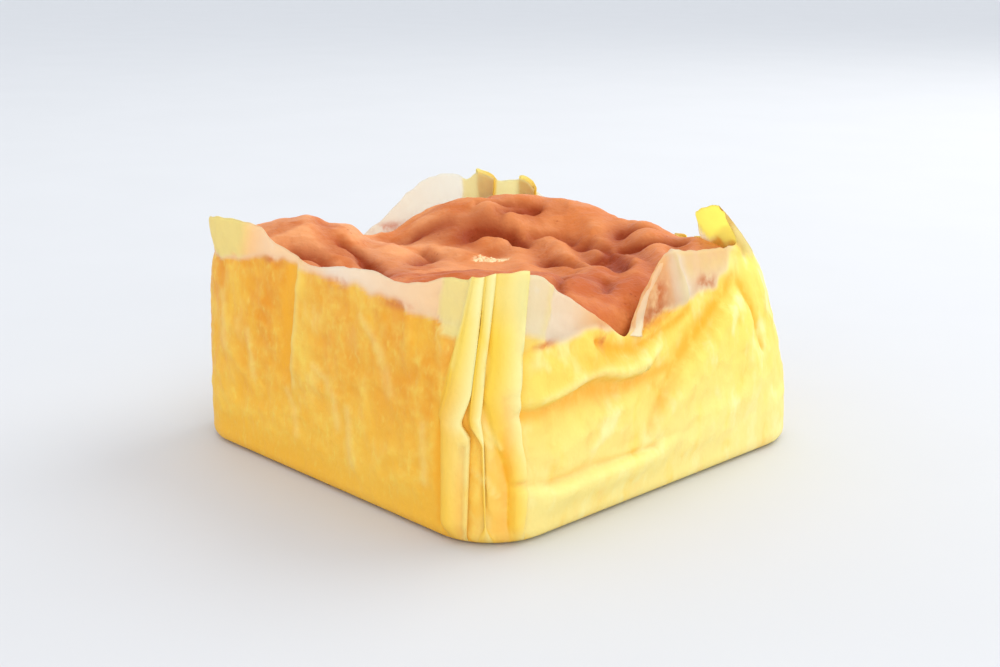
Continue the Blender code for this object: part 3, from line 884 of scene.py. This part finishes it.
def castella_material(settings):
    """Baked castella: a matt orange-brown skin over a soft, moist yellow crumb.

    The skin gives warm mottling, with painted shade in its hollows and fine pores, painted light on the
    left corner's mound and painted shade towards the near corner; the sides a fine crumb.
    """
    material, tree, place = new_material("Baked Castella Sponge")
    skin = (*settings.sponge, 1.0)
    # Each tone with the attribute that says where it lies, and its clouds' size and contrast.
    for layer in (
        (settings.crust, "browned", 2.0, 0.0, 0.3),
        # Pale mottling, gathered on the left corner's mound as painted light.
        (settings.pale, "skin", 9.0, 0.34, 0.56),
        # Darker and hollow tones where the crust browned more, and as painted shade towards the near
        # corner and along the paper's edge.
        (settings.darker_and_shaded, "browner", 6.0, 0.1, 0.6),
        (settings.hollow, "browner", 2.2, 0.52, 1.2),
        # Painted shade in cracks and dents.
        (settings.hollow, "hollow", 3.0, 0.0, 0.45),
    ):
        skin = laid(tree, place, skin, *layer)

    # Pores about 1.4 mm apart, and only in patches about 7 mm across, painted dark as shade in the
    # pits.
    inputs = {"Vector": place, "Scale": per_mm(1.4), "Randomness": 1.0}
    cells = add_node(tree, "ShaderNodeTexVoronoi", inputs).outputs["Distance"]
    patch = clouds(tree, place, 7.0, 0.52, 0.7, 0.0, 0.6)
    inputs = {"Value": cells, 1: 0.1, 2: 0.24, 3: patch, 4: 0.0}
    pores = add_node(tree, "ShaderNodeMapRange", inputs, interpolation_type="SMOOTHSTEP")
    inputs = {"Factor": pores, 6: skin, 7: (*settings.hollow, 1.0)}
    skin = add_node(tree, "ShaderNodeMix", inputs, data_type="RGBA").outputs[2]
    skin = laid(tree, place, skin, settings.crumb, "crumb", 0.8, 0.3, 0.55)

    relief = clouds(tree, place, 0.7, 0.2, 0.8)
    grain = add_node(tree, "ShaderNodeMath", {0: relief, 1: pores}, operation="SUBTRACT")
    bump = add_node(tree, "ShaderNodeBump", {"Height": grain, "Distance": 0.14 * MM, "Strength": 0.7})
    shader = add_node(
        tree,
        "ShaderNodeBsdfPrincipled",
        {
            "Base Color": skin,
            "Roughness": clouds(tree, place, 5.0, 0.35, 0.7, 0.5, 0.68),
            "Normal": bump,
            "IOR": 1.45,
            "Specular IOR Level": 0.2,
        },
    )
    add_node(tree, "ShaderNodeOutputMaterial", {"Surface": shader})
    return material


def crumb_material(settings):
    """Loose castella crumb: pale, dry and rough, with darker baked specks."""
    material, tree, place = new_material("Castella Crumb")
    colour = laid(tree, place, (*settings.crumb, 1.0), settings.pale, "browned", 0.6, 0.5, 0.7)
    grain = clouds(tree, place, 0.3, 0.2, 0.8)
    bump = add_node(tree, "ShaderNodeBump", {"Height": grain, "Distance": 0.05 * MM, "Strength": 0.6})
    inputs = {"Base Color": colour, "Roughness": 0.85, "Normal": bump}
    shader = add_node(tree, "ShaderNodeBsdfPrincipled", inputs)
    add_node(tree, "ShaderNodeOutputMaterial", {"Surface": shader})
    return material


def paper_material(settings):
    """Greaseproof paper, waxed, and soaked with fat where it clings to the sponge.

    It is deep yellow-orange in contact, lemon where it stands off or lies in pleats, and cream and
    see-through above the crust, with a faint waxy gloss and fine fibres. Highlights along its folds,
    pleats and foot are painted in, and so is part of the shade in its furrows.
    """
    material, tree, place = new_material("Waxed Greaseproof Paper")
    # The fat has run down the paper, so its clouds are taller than they are wide.
    inputs = {0: place, 1: (1.0, 1.0, 0.5)}
    run = add_node(tree, "ShaderNodeVectorMath", inputs, operation="MULTIPLY")
    colour = (*settings.soaked_pale, 1.0)
    # Each tone with the attribute that says where it lies, and its clouds' size and contrast.
    for at, *layer in (
        (run, settings.soaked, "deep", 5.5, 0.24, 0.62),
        (run, settings.lifted, "lifted", 3.5, 0.1, 0.5),
        (run, settings.edge, "lifted", 4.5, 0.5, 0.72),
        (run, settings.lifted, "fleck", 1.1, 0.54, 0.8),
        (place, settings.lifted, "creased", 2.0, 0.2, 1.4),
        (run, settings.pleat, "covered", 5.0, 0.0, 0.4),
        # Pressed tone: wet contact in the furrows, and painted shade under the creases.
        (place, settings.pressed, "groove", 3.0, 0.1, 0.6),
        (place, settings.free, "free", 1.5, 0.0, 0.3),
        (place, settings.warm, "warm", 3.0, 0.0, 0.4),
        (place, settings.layered, "tab", 6.0, 0.0, 0.4),
        # Painted highlights along folds, towards pleats' edges, on pleats' tops and near the foot.
        (run, settings.edge, "pale", 4.0, 0.1, 0.5),
        (place, settings.browned, "browning", 2.4, 0.32, 0.62),
    ):
        colour = laid(tree, at, colour, *layer)

    # Crinkles about 3 mm apart, with the fibres' fine grain at a fifth of their height.
    fibres = clouds(tree, place, 0.5, 0.2, 0.8, 0.0, 0.2)
    crinkles = clouds(tree, run, 3.0, 0.25, 0.75)
    height = add_node(tree, "ShaderNodeMath", {0: fibres, 1: crinkles}, operation="ADD")
    bump = add_node(tree, "ShaderNodeBump", {"Height": height, "Distance": 0.28 * MM, "Strength": 0.5})
    shader = add_node(
        tree,
        "ShaderNodeBsdfPrincipled",
        {
            "Base Color": colour,
            "Roughness": clouds(tree, place, 4.0, 0.35, 0.7, 0.45, 0.58),
            "Alpha": add_node(tree, "ShaderNodeAttribute", attribute_name="solid").outputs["Fac"],
            "Normal": bump,
            "IOR": 1.5,
            "Specular IOR Level": 0.2,
        },
    )
    # Light from behind comes through it, as far as the glow attribute says.
    glow = add_node(tree, "ShaderNodeBsdfTranslucent", {"Color": colour})
    share = add_node(tree, "ShaderNodeAttribute", attribute_name="glow").outputs["Fac"]
    mixed = add_node(tree, "ShaderNodeMixShader", {0: share, 1: shader, 2: glow})
    add_node(tree, "ShaderNodeOutputMaterial", {"Surface": mixed})
    return material


def floor_material(settings):
    """Matt white board: a pale ground with the faintest unevenness."""
    material, tree, place = new_material("Matt White Board")
    darker = (*(0.985 * c for c in settings.floor), 1.0)
    inputs = {"Factor": clouds(tree, place, 60.0, 0.3, 0.7), 6: (*settings.floor, 1.0), 7: darker}
    shade = add_node(tree, "ShaderNodeMix", inputs, data_type="RGBA").outputs[2]
    shader = add_node(tree, "ShaderNodeBsdfPrincipled", {"Base Color": shade, "Roughness": 0.8})
    add_node(tree, "ShaderNodeOutputMaterial", {"Surface": shader})
    return material


# --------------------------------------------------------------------------- the cake

CAKE_GRID = 236
CAKE_WALL_ROWS = 20
CAKE_SHOULDER_ROWS = 14
FOOT_ROWS = 4
CAKE_UNDERSIDE = 0.65
CAKE_FOOT_RADIUS = FOOT_RADIUS - 0.3
CAKE_NOTES = ("top", "browned", "skin", "browner", "hollow", "crumb")
# The crust's browning fades out below its shoulder: where it ends and over what height.
FADE_END, FADE_HEIGHT = 3.5, 4.0
# The small tear: its middle, its long and short reach, the cosine and sine of the way the long
# one points, its depth, and its crumbs per square metre.
TEAR_X, TEAR_Y = -5.0, 3.5
TEAR_LONG, TEAR_SHORT = 3.6, 1.9
TEAR_COS, TEAR_SIN = 0.72, 0.69
TEAR_DEPTH = 0.5
CRUMB_DENSITY = 2.2e6
GRAIN_SIZE = 1.3
GRAIN_SEED = 3


def square_place(u, v):
    """Places round the case of points of the square from -1 to 1, seen from its middle."""
    reach = np.maximum(np.maximum(np.abs(u), np.abs(v)), 1e-9)
    u, v = u / reach, v / reach
    right = (u >= 1) & (v > -1)
    back = (v >= 1) & ~right
    left = (u <= -1) & ~right & ~back
    return np.select(
        [right, back, left],
        [QUARTER * (v + 1) / 2, QUARTER * (1 + (1 - u) / 2), QUARTER * (2 + (1 - v) / 2)],
        QUARTER * (3 + (u + 1) / 2),
    )


def browner(x, y):
    """How much darker the crust is, most towards the near corner and its two edges: partly more
    browning, partly painted shade on the front slopes and by the paper.
    """
    corner = above(x - y + 12 * noise_at(x, y, 7.0, 0.08), 2, 34)
    edge = above(np.maximum(x, -y) + 3 * noise_at(x, y, 4.0, 0.12), 30, 7)
    return np.minimum(1.0, 0.2 + 0.75 * corner + 0.35 * edge)


def paler_and_lit(x, y):
    """How pale the crust's skin is: some everywhere, and most on the mound of the left corner as
    painted light.
    """
    return 0.3 + 0.7 * bell(np.hypot(x + 26, y + 18) / 26)


def crumb_spot(x, y):
    """1 inside the small tear of the crust where the crumb shows, and 0 away from it."""
    dx, dy = x - TEAR_X, y - TEAR_Y
    along, across = dx * TEAR_COS + dy * TEAR_SIN, dy * TEAR_COS - dx * TEAR_SIN
    edge = 0.35 * noise_at(x, y, 3.0, 0.6)
    return smooth((1.25 + edge - np.hypot(along / TEAR_LONG, across / TEAR_SHORT)) * 2.5)


def build_cake(settings, material):
    """The sponge: a flat underside, round foot, upright wall, round shoulder and crust."""
    shoulder = settings.shoulder / MM
    wall = PAPER_MIDDLE - settings.clearance / MM
    count = 4 * CAKE_GRID
    places = np.arange(count) * AROUND / count
    tops, _ = crust(*outline(places, wall - shoulder), settings)
    rows, faces, notes = [], [], []

    def add_row(inset, heights, top, browned):
        x, y = outline(places, wall - inset)
        rows.append(slumped(x, y, heights))
        if len(rows) > 1:
            faces.extend(bridge((len(rows) - 2) * count, (len(rows) - 1) * count, count))
        skin = paler_and_lit(x, y) * (browned > 0.95)
        notes.append(np.broadcast_arrays(top, browned, skin, browner(x, y) * browned, 0.0, 0.0))

    for k in range(FOOT_ROWS + 1):
        turn = math.pi / 2 * k / FOOT_ROWS
        height = CAKE_UNDERSIDE + CAKE_FOOT_RADIUS * (1 - math.cos(turn))
        add_row(CAKE_FOOT_RADIUS * (1 - math.sin(turn)), np.full(count, height), 0.0, 0.55)
    faces.append(tuple(reversed(range(count))))
    foot_top = CAKE_UNDERSIDE + CAKE_FOOT_RADIUS
    for k in range(1, CAKE_WALL_ROWS + 1):
        heights = foot_top + k / CAKE_WALL_ROWS * (tops - shoulder - foot_top)
        browned = 0.1 + 0.9 * above(heights, tops - shoulder - FADE_END, FADE_HEIGHT)
        add_row(0.0, heights, 0.0, browned)
    for k in range(1, CAKE_SHOULDER_ROWS + 1):
        share = k / CAKE_SHOULDER_ROWS
        turn = math.pi / 2 * (1 - share)
        drop = shoulder * (1 - math.cos(turn))
        add_row(shoulder * (1 - math.sin(turn)), tops - drop, smooth(share), 1.0)

    # The crust is a square grid whose edge is the last row.
    last = (len(rows) - 1) * count
    steps = np.arange(CAKE_GRID + 1) / CAKE_GRID * 2 - 1
    u, v = np.meshgrid(steps, steps)
    reach = np.maximum(np.abs(u), np.abs(v))
    grid_places = square_place(u, v)
    edge = reach >= 1 - 1e-9
    inner = ~edge
    x, y = outline(grid_places, wall - shoulder)
    x, y = x * reach, y * reach
    heights, hollow = crust(x, y, settings)
    spot = crumb_spot(x, y)
    index = np.empty(u.shape, int)
    index[edge] = last + np.round(grid_places[edge] / AROUND * count).astype(int) % count
    index[inner] = len(rows) * count + np.arange(inner.sum())
    rows.append(slumped(x, y, heights - TEAR_DEPTH * spot)[inner])
    notes.append(
        [one[inner] for one in np.broadcast_arrays(1.0, 1.0, paler_and_lit(x, y), browner(x, y), hollow, spot)]
    )
    faces.extend(grid_faces(index))

    notes = dict(zip(CAKE_NOTES, np.concatenate(notes, axis=1)))
    cake = add_mesh("castella", np.concatenate(rows), faces, notes, material)
    values = {
        "Fold Height": settings.skin_relief,
        "Fold Size": settings.skin_size,
        "Grain Height": settings.grain_relief,
        "Grain Size": GRAIN_SIZE * MM,
        "Seed": GRAIN_SEED,
    }
    add_tree_modifier(cake, crust_tree(material), values)
    settle(cake)
    return cake


def build_crumbs(settings, cake, material):
    """Loose crumbs in and round the tear of the crust."""
    crumbs = bpy.data.objects.new("loose_crumbs", cake.data.copy())
    bpy.context.scene.collection.objects.link(crumbs)
    values = {"Crumb Size": settings.crumb_size, "Density": CRUMB_DENSITY, "Seed": settings.crumb_seed}
    add_tree_modifier(crumbs, crumb_tree(material), values)
    settle(crumbs)
    return crumbs


# --------------------------------------------------------------------- the paper case

# The whole heights at which a pleat's columns have their places, and three that are looked at.
LEVELS = np.arange(0.0, 49.0)
FOOT_LEVEL, MIDDLE_LEVEL, RIM_LEVEL = 2, 20, 43
PAPER_ROWS = 70
# The middle of the paper's thickness lies this high on the table.
PAPER_FLOOR = 0.15
# How much a pleat's layers wave, how deep the deepest groove goes, and how far folds and tabs
# stand out.
LAYER_WAVE, GROOVE_DEPTH, FOLD_HEIGHT, TAB_HEIGHT = 0.35, 0.8, 0.4, 0.3
# How far the left corner leans in and out again, and how far the right corner flares out.
LEAN_IN, LEAN_OUT, FLARE_OUT = 1.2, 1.5, 1.8
# How far the line that the paper clings up to wavers, and over what height it comes free.
CLING_WAVER, CLING_FADE = 0.9, 1.6
# How much higher each layer of a pleat ends, and how far the cut edge wavers.
LAYER_RISE, RIM_WAVER = 0.4, 0.25
# How far a pleat's columns lie spread out at the foot, where the paper isn't folded yet.
PLEAT_SPREAD = 3.8
# Columns nearer than this are one pleat's. The others get more between them, in steps that
# are wider on the sides that face away, which start past the two outer corners by a margin.
SAME_PLEAT = 2.5
SHOWN_STEP, HIDDEN_STEP, HIDDEN_MARGIN = 0.62, 0.95, 12
# The strip of the right side's flap that is folded down over the notch: its rows and columns,
# how far its edge lies below the rim, how far it lies off the sheet and how far it puffs out,
# and at these shares along it the places of its outer and inner edge past the side's middle
# and the heights of its inner edge. Some of its notes aren't those of the wall.
STRIP_ROWS, STRIP_COLUMNS = 45, 13
STRIP_BELOW_RIM, STRIP_LIFT, STRIP_PUFF = 0.15, 0.22, 0.55
STRIP_SHARES = (0, 0.3, 0.55, 0.75, 1)
STRIP_OUTER = (-9.9, -7.0, -4.0, 0.0, 7.4)
STRIP_INNER = (-5.6, -4.2, -2.0, 1.2, 7.4)
STRIP_HEIGHTS = (28.6, 31.5, 34.8, 37.2, 40.7)
STRIP_NOTES = {
    "tab": 0.1, "warm": 0.45, "free": 1.0, "loose": 0.0, "groove": 0.0, "browning": 0.0, "solid": 0.75
}


def pleat_columns(corner, edge, lap, puff):
    """The columns of one pleat: places at each level, layers out, puff, and a painted highlight that
    grows towards its folded edge.
    """
    knots = []
    for one, other in zip(PLEAT_PROFILE, PLEAT_PROFILE[1:]):
        for k in range(one[3]):
            share = k / one[3]
            knots.append([a + (b - a) * share for a, b in zip(one[:3], other[:3])])
    knots.append(PLEAT_PROFILE[-1][:3])
    line = np.interp(LEVELS, *zip(*edge))
    laps = np.interp(LEVELS, *zip(*lap))
    open_share = smooth(LEVELS / PLEAT_FOOT)
    columns = []
    for k, (back, layers, share) in enumerate(knots):
        shift = PLEAT_SPREAD * (k / (len(knots) - 1) - 0.5)
        places = corner + line + shift * (1 - open_share) - back * laps * open_share
        columns.append((places, layers, share * puff, max(0.0, 1 - back)))
    return columns


def paper_columns():
    """All columns of the sheet in order round the case, filled in where they stand apart."""
    columns = [one for pleat in PLEATS for one in pleat_columns(*pleat)]
    starts = [past(one[0][0], FRONT_SIDE + 1) for one in columns]
    columns = [columns[k] for k in np.argsort(starts)]
    first = columns[0]
    columns.append((first[0] + AROUND, *first[1:]))
    filled = []
    for one, other in zip(columns, columns[1:]):
        apart = past(other[0], one[0])
        widest = max(apart[level] for level in (FOOT_LEVEL, MIDDLE_LEVEL, RIM_LEVEL))
        middle = (one[0][MIDDLE_LEVEL] + apart[MIDDLE_LEVEL] / 2) % AROUND
        hidden = RIGHT_CORNER + HIDDEN_MARGIN < middle < LEFT_CORNER - HIDDEN_MARGIN
        pleated = one[1] != other[1] or abs(widest) < SAME_PLEAT
        step = HIDDEN_STEP if hidden else SHOWN_STEP
        count = 1 if pleated else max(1, math.ceil(widest / step))
        for k in range(count):
            share = k / count
            between = [a + (b - a) * share for a, b in zip(one[1:], other[1:])]
            filled.append((one[0] + apart * share, *between))
    return filled


def paper_patch(places, heights, layers, puff, pale, over=0.0):
    """Points and notes of the paper at these places, in layers over the sponge's side.

    The notes become point attributes, which the paper's material and its crumples read.
    """
    rise = smooth(heights / PLEAT_FOOT)
    covered = np.minimum(1.0, layers + puff)
    tab, tab_colour = doubled(places, heights)
    groove = lines(places, heights, GROOVES)
    fold = lines(places, heights, FOLDS)
    soaked = around(places, SOAKED)
    wave = noise_at(places * 0.16, heights * 0.07, layers * 3.0, 1.0)
    lift = (LAYER * (layers + puff) + LAYER_WAVE * wave * covered) * rise
    stand = crumple(places, heights) * above(heights, 1, 6)
    off = stand + lift
    pressed = off - np.minimum(off, GROOVE_DEPTH) * groove
    # The left corner leans in just above the sponge and out again at its tab, and the right
    # corner flares out.
    waist = LEAN_OUT * above(heights, 36.5, 6) - LEAN_IN * above(heights, 32.5, 5)
    flare = waist * bell(past(places, LEFT_CORNER) / 7)
    flare = flare + FLARE_OUT * above(heights, 22, 14) * bell(past(places, RIGHT_CORNER) / 9)
    raised = (FOLD_HEIGHT - 0.3 * soaked) * fold * rise + TAB_HEIGHT * tab
    out = pressed + flare + raised + over
    x, y = outline(places, PAPER_MIDDLE + out)

    line = around(places, CLING) + CLING_WAVER * noise_at(places, 4.0, 0.0, 0.3)
    free = above(heights, line, CLING_FADE)
    single = 1 - covered * rise
    clinging = soaked * np.exp(-(stand + flare) / (1.3 + 0.4 * soaked**4))
    brown = spots(places, heights, BROWNINGS)
    stain = spots(places, heights, STAINS)
    # Painted light: paler near the dry foot as light from the table, along the fold lines, and on the
    # pleats' upper parts.
    low = np.minimum(0.58, 1.7 * (1 - soaked) ** 2) * (1 - above(heights, 4, 24))
    lit = (0.5 - 0.3 * soaked) * fold + low * single
    crown = 0.4 * covered * above(heights, 33, 9)
    # Light comes through high up, and less where the right corner's tab faces outwards.
    high = above(heights, 35, 3) * (1 - soaked)
    lit_outside = bell((past(places, RIGHT_CORNER) + 3) / 4)
    tab_glow = 0.8 * tab_colour * (1 - 0.7 * lit_outside)
    back_lit = (1 - soaked) * (tab_glow + (0.3 + 0.3 * covered) * high)
    clear = around(places, CLEAR) * free * np.minimum(single, 1 - tab)
    notes = {
        "deep": above(heights, 4, 26) * soaked,
        "lifted": (1 - np.clip(clinging, 0, 1)) * (1 - 0.75 * stain),
        "fleck": 0.4 * single * (1 - free),
        # Deeper in the furrows: partly wet contact, partly painted shade.
        "groove": groove * (1 - free) * (1 - 0.8 * fold),
        "covered": covered * rise * (1 - 0.7 * soaked**2 * (1 - above(heights, 20, 14))),
        # Painted highlight towards the pleats' folded edges, weaker near the foot, with the painted
        # light above added.
        "pale": np.clip(pale**1.6 * (0.4 + 0.6 * above(heights, 5, 18)) + lit + crown, 0, 1),
        "free": free * single,
        "warm": free * single * around(places, WARM),
        "tab": tab_colour,
        "browning": brown * single * (1 - tab),
        "loose": above(heights, 3, 5) * single * (1 - 0.7 * groove),
        "solid": 1 - clear,
        "glow": 0.08 + 0.3 * free * single + back_lit,
    }
    return slumped(x, y, heights), notes


def folded_strip():
    """Points and notes of the strip that is folded down over the notch."""
    shares = np.linspace(0, 1, STRIP_COLUMNS), np.linspace(0, 1, STRIP_ROWS)
    across, along = np.meshgrid(*shares)
    outer = RIGHT_SIDE + np.interp(along, STRIP_SHARES, STRIP_OUTER)
    inner = RIGHT_SIDE + np.interp(along, STRIP_SHARES, STRIP_INNER)
    outer_height = rim(outer) - STRIP_BELOW_RIM
    inner_height = np.interp(along, STRIP_SHARES, STRIP_HEIGHTS)
    places = outer + (inner - outer) * across
    heights = outer_height + (inner_height - outer_height) * across
    # It lies just outside the sheet and puffs out, less and less towards its upper end.
    arch = np.sin(math.pi * np.minimum(1, across * 1.15))
    over = STRIP_LIFT + STRIP_PUFF * arch * (1 - along) ** 0.5
    none = np.zeros(along.shape)
    points, notes = paper_patch(places, heights, none, none, none, over)
    notes.update({key: none + value for key, value in STRIP_NOTES.items()})
    return points, notes


def build_case(settings, material):
    """The case: one sheet with a flat bottom, a round foot and pleated walls."""
    columns = paper_columns()
    count = len(columns)
    layers, puff, pale = (np.array([one[k] for one in columns]) for k in (1, 2, 3))
    at_rim = np.array([one[0][RIM_LEVEL] for one in columns])
    tops = rim(at_rim) + LAYER_RISE * layers + RIM_WAVER * noise_at(at_rim, 0.0, 0.0, 0.45)
    shares = np.arange(PAPER_ROWS + 1)[:, None] / PAPER_ROWS
    heights = FOOT_RADIUS + (tops - FOOT_RADIUS) * shares
    places = [np.interp(heights[:, k], LEVELS, one[0]) for k, one in enumerate(columns)]
    wall, notes = paper_patch(np.stack(places, 1), heights, layers, puff, pale)

    rows = []
    foot = FOOT_RADIUS - PAPER_FLOOR
    for k in range(FOOT_ROWS):
        turn = math.pi / 2 * k / FOOT_ROWS
        height = PAPER_FLOOR + foot * (1 - math.cos(turn))
        foot_places = np.array([np.interp(height, LEVELS, one[0]) for one in columns])
        lift = LAYER * (layers + puff) * smooth(height / PLEAT_FOOT) * math.sin(turn)
        x, y = outline(foot_places, PAPER_MIDDLE - foot * (1 - math.sin(turn)) + lift)
        rows.append(slumped(x, y, np.full(count, height)))
    faces = [tuple(reversed(range(count)))]
    for k in range(FOOT_ROWS + PAPER_ROWS):
        faces.extend(bridge(k * count, (k + 1) * count, count))

    strip, strip_notes = folded_strip()
    points = np.concatenate([*rows, wall.reshape(-1, 3), strip.reshape(-1, 3)])
    index = np.arange(STRIP_ROWS * STRIP_COLUMNS).reshape(STRIP_ROWS, STRIP_COLUMNS)
    faces.extend(grid_faces(len(points) - index.size + index))
    notes = {
        key: np.concatenate([np.tile(one[0], FOOT_ROWS), one.ravel(), strip_notes[key].ravel()])
        for key, one in notes.items()
    }
    case = add_mesh("pleated_case", points, faces, notes, material)
    values = {
        "Height": settings.crumple_height, "Size": settings.crumple_size, "Seed": settings.crumple_seed
    }
    add_tree_modifier(case, crumple_tree(material), values)
    sheet = case.modifiers.new("Thickness", "SOLIDIFY")
    sheet.thickness = settings.thickness
    sheet.offset = 0.0
    settle(case)
    return case


# --------------------------------------------------------------------------- the stage

# The floor's disc lies just under the case, so that the two don't share a plane.
FLOOR_RADIUS, FLOOR_CORNERS, FLOOR_HEIGHT = 6000.0, 96, -0.05
# How far the camera's aim lies to the right of the cake's middle.
AIM_ASIDE = 0.43
# Each lamp: its name and power setting, size and distance in metres, colour, and its way from
# the cake as shares to the right, towards the camera and up.
LAMPS = (
    ("Window", "window_power", 0.9, 1.0, (1.0, 0.98, 0.95), (0.8, -0.45, 0.9)),
    ("Reflector", "reflector_power", 1.2, 1.2, (1.0, 1.0, 1.0), (0.25, 0.95, 0.1)),
)


def build_stage(settings):
    """The pale floor, the soft lights and the camera."""
    scene = bpy.context.scene
    turns = np.arange(FLOOR_CORNERS) * 2 * math.pi / FLOOR_CORNERS
    x, y = FLOOR_RADIUS * np.cos(turns), FLOOR_RADIUS * np.sin(turns)
    disc = np.stack([x, y, np.full(FLOOR_CORNERS, FLOOR_HEIGHT)], -1)
    floor = add_mesh("floor", disc, [tuple(range(FLOOR_CORNERS))], {}, floor_material(settings))

    turn, rise = settings.turn, settings.rise
    right = Vector((math.cos(turn), math.sin(turn), 0))
    toward = Vector((math.sin(turn), -math.cos(turn), 0))
    back = toward * math.cos(rise) + Vector((0, 0, math.sin(rise)))
    aim = Vector((MIDDLE_X * MM, MIDDLE_Y * MM, settings.aim_height)) + right * AIM_ASIDE * MM
    camera = bpy.data.objects.new("Camera", bpy.data.cameras.new("Camera"))
    scene.collection.objects.link(camera)
    camera.data.lens = settings.lens
    camera.data.sensor_width = 36.0
    camera.location = aim + back * settings.distance
    camera.rotation_mode = "QUATERNION"
    camera.rotation_quaternion = (-back).to_track_quat("-Z", "Y")
    scene.camera = camera

    for name, power, size, distance, colour, (aside, near, up) in LAMPS:
        lamp = bpy.data.lights.new(name, "AREA")
        lamp.shape = "DISK"
        lamp.size = size
        lamp.energy = getattr(settings, power)
        lamp.color = colour
        light = bpy.data.objects.new(name, lamp)
        scene.collection.objects.link(light)
        way = (right * aside + toward * near + Vector((0, 0, up))).normalized()
        light.location = aim + way * distance
        light.rotation_mode = "QUATERNION"
        light.rotation_quaternion = way.to_track_quat("Z", "Y")

    world = bpy.data.worlds.new("Bright Room")
    world.use_nodes = True
    ground = world.node_tree.nodes["Background"]
    ground.inputs["Color"].default_value = (*settings.sky, 1.0)
    ground.inputs["Strength"].default_value = settings.sky_strength
    scene.world = world
    scene.view_settings.view_transform = "Standard"
    scene.view_settings.look = "None"


# --------------------------------------------------------------------------- operators


class CASTELLA_OT_cake(bpy.types.Operator):
    """Builds the baked sponge and its crumbs"""

    bl_idname = "castella.cake"
    bl_label = "Castella"

    def execute(self, context):
        settings = context.scene.castella_cake
        cake = build_cake(settings, castella_material(settings))
        crumbs = build_crumbs(settings, cake, crumb_material(settings))
        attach(cake, "root")
        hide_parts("cake")
        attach(crumbs, "root")
        return {"FINISHED"}


class CASTELLA_OT_case(bpy.types.Operator):
    """Builds the pleated paper case round the sponge"""

    bl_idname = "castella.case"
    bl_label = "Paper Case"

    def execute(self, context):
        settings = context.scene.castella_case
        case = build_case(settings, paper_material(settings))
        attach(case, "root")
        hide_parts("paper_case")
        return {"FINISHED"}


class CASTELLA_OT_stage(bpy.types.Operator):
    """Builds the pale floor, the soft lights and the camera"""

    bl_idname = "castella.stage"
    bl_label = "Stage"

    def execute(self, context):
        build_stage(context.scene.castella_stage)
        return {"FINISHED"}


class CASTELLA_PT_panel(bpy.types.Panel):
    """Lists the cake's pieces and sizes"""

    bl_label = "Castella Cake"
    bl_space_type = "VIEW_3D"
    bl_region_type = "UI"
    bl_category = "Castella"

    def draw(self, context):
        for operator, name in zip(OPERATORS, SETTINGS):
            settings = getattr(context.scene, name)
            box = self.layout.box()
            box.operator(operator.bl_idname)
            for key in settings.bl_rna.properties.keys():
                if key not in ("rna_type", "name"):
                    box.prop(settings, key)


SETTINGS = {
    "castella_cake": CakeSettings, "castella_case": CaseSettings, "castella_stage": StageSettings
}
OPERATORS = (CASTELLA_OT_cake, CASTELLA_OT_case, CASTELLA_OT_stage)
CLASSES = (*SETTINGS.values(), *OPERATORS, CASTELLA_PT_panel)


def register():
    """Registers the classes and puts the settings on the scene."""
    for one in CLASSES:
        bpy.utils.register_class(one)
    for name, settings in SETTINGS.items():
        setattr(bpy.types.Scene, name, PointerProperty(type=settings))


def unregister():
    """Takes the settings and the classes away again."""
    for name in SETTINGS:
        delattr(bpy.types.Scene, name)
    for one in reversed(CLASSES):
        bpy.utils.unregister_class(one)


def main():
    """Builds the cake, its case and the stage."""
    register()
    bpy.ops.castella.cake()
    bpy.ops.castella.case()
    bpy.ops.castella.stage()


if __name__ == "__main__":
    main()
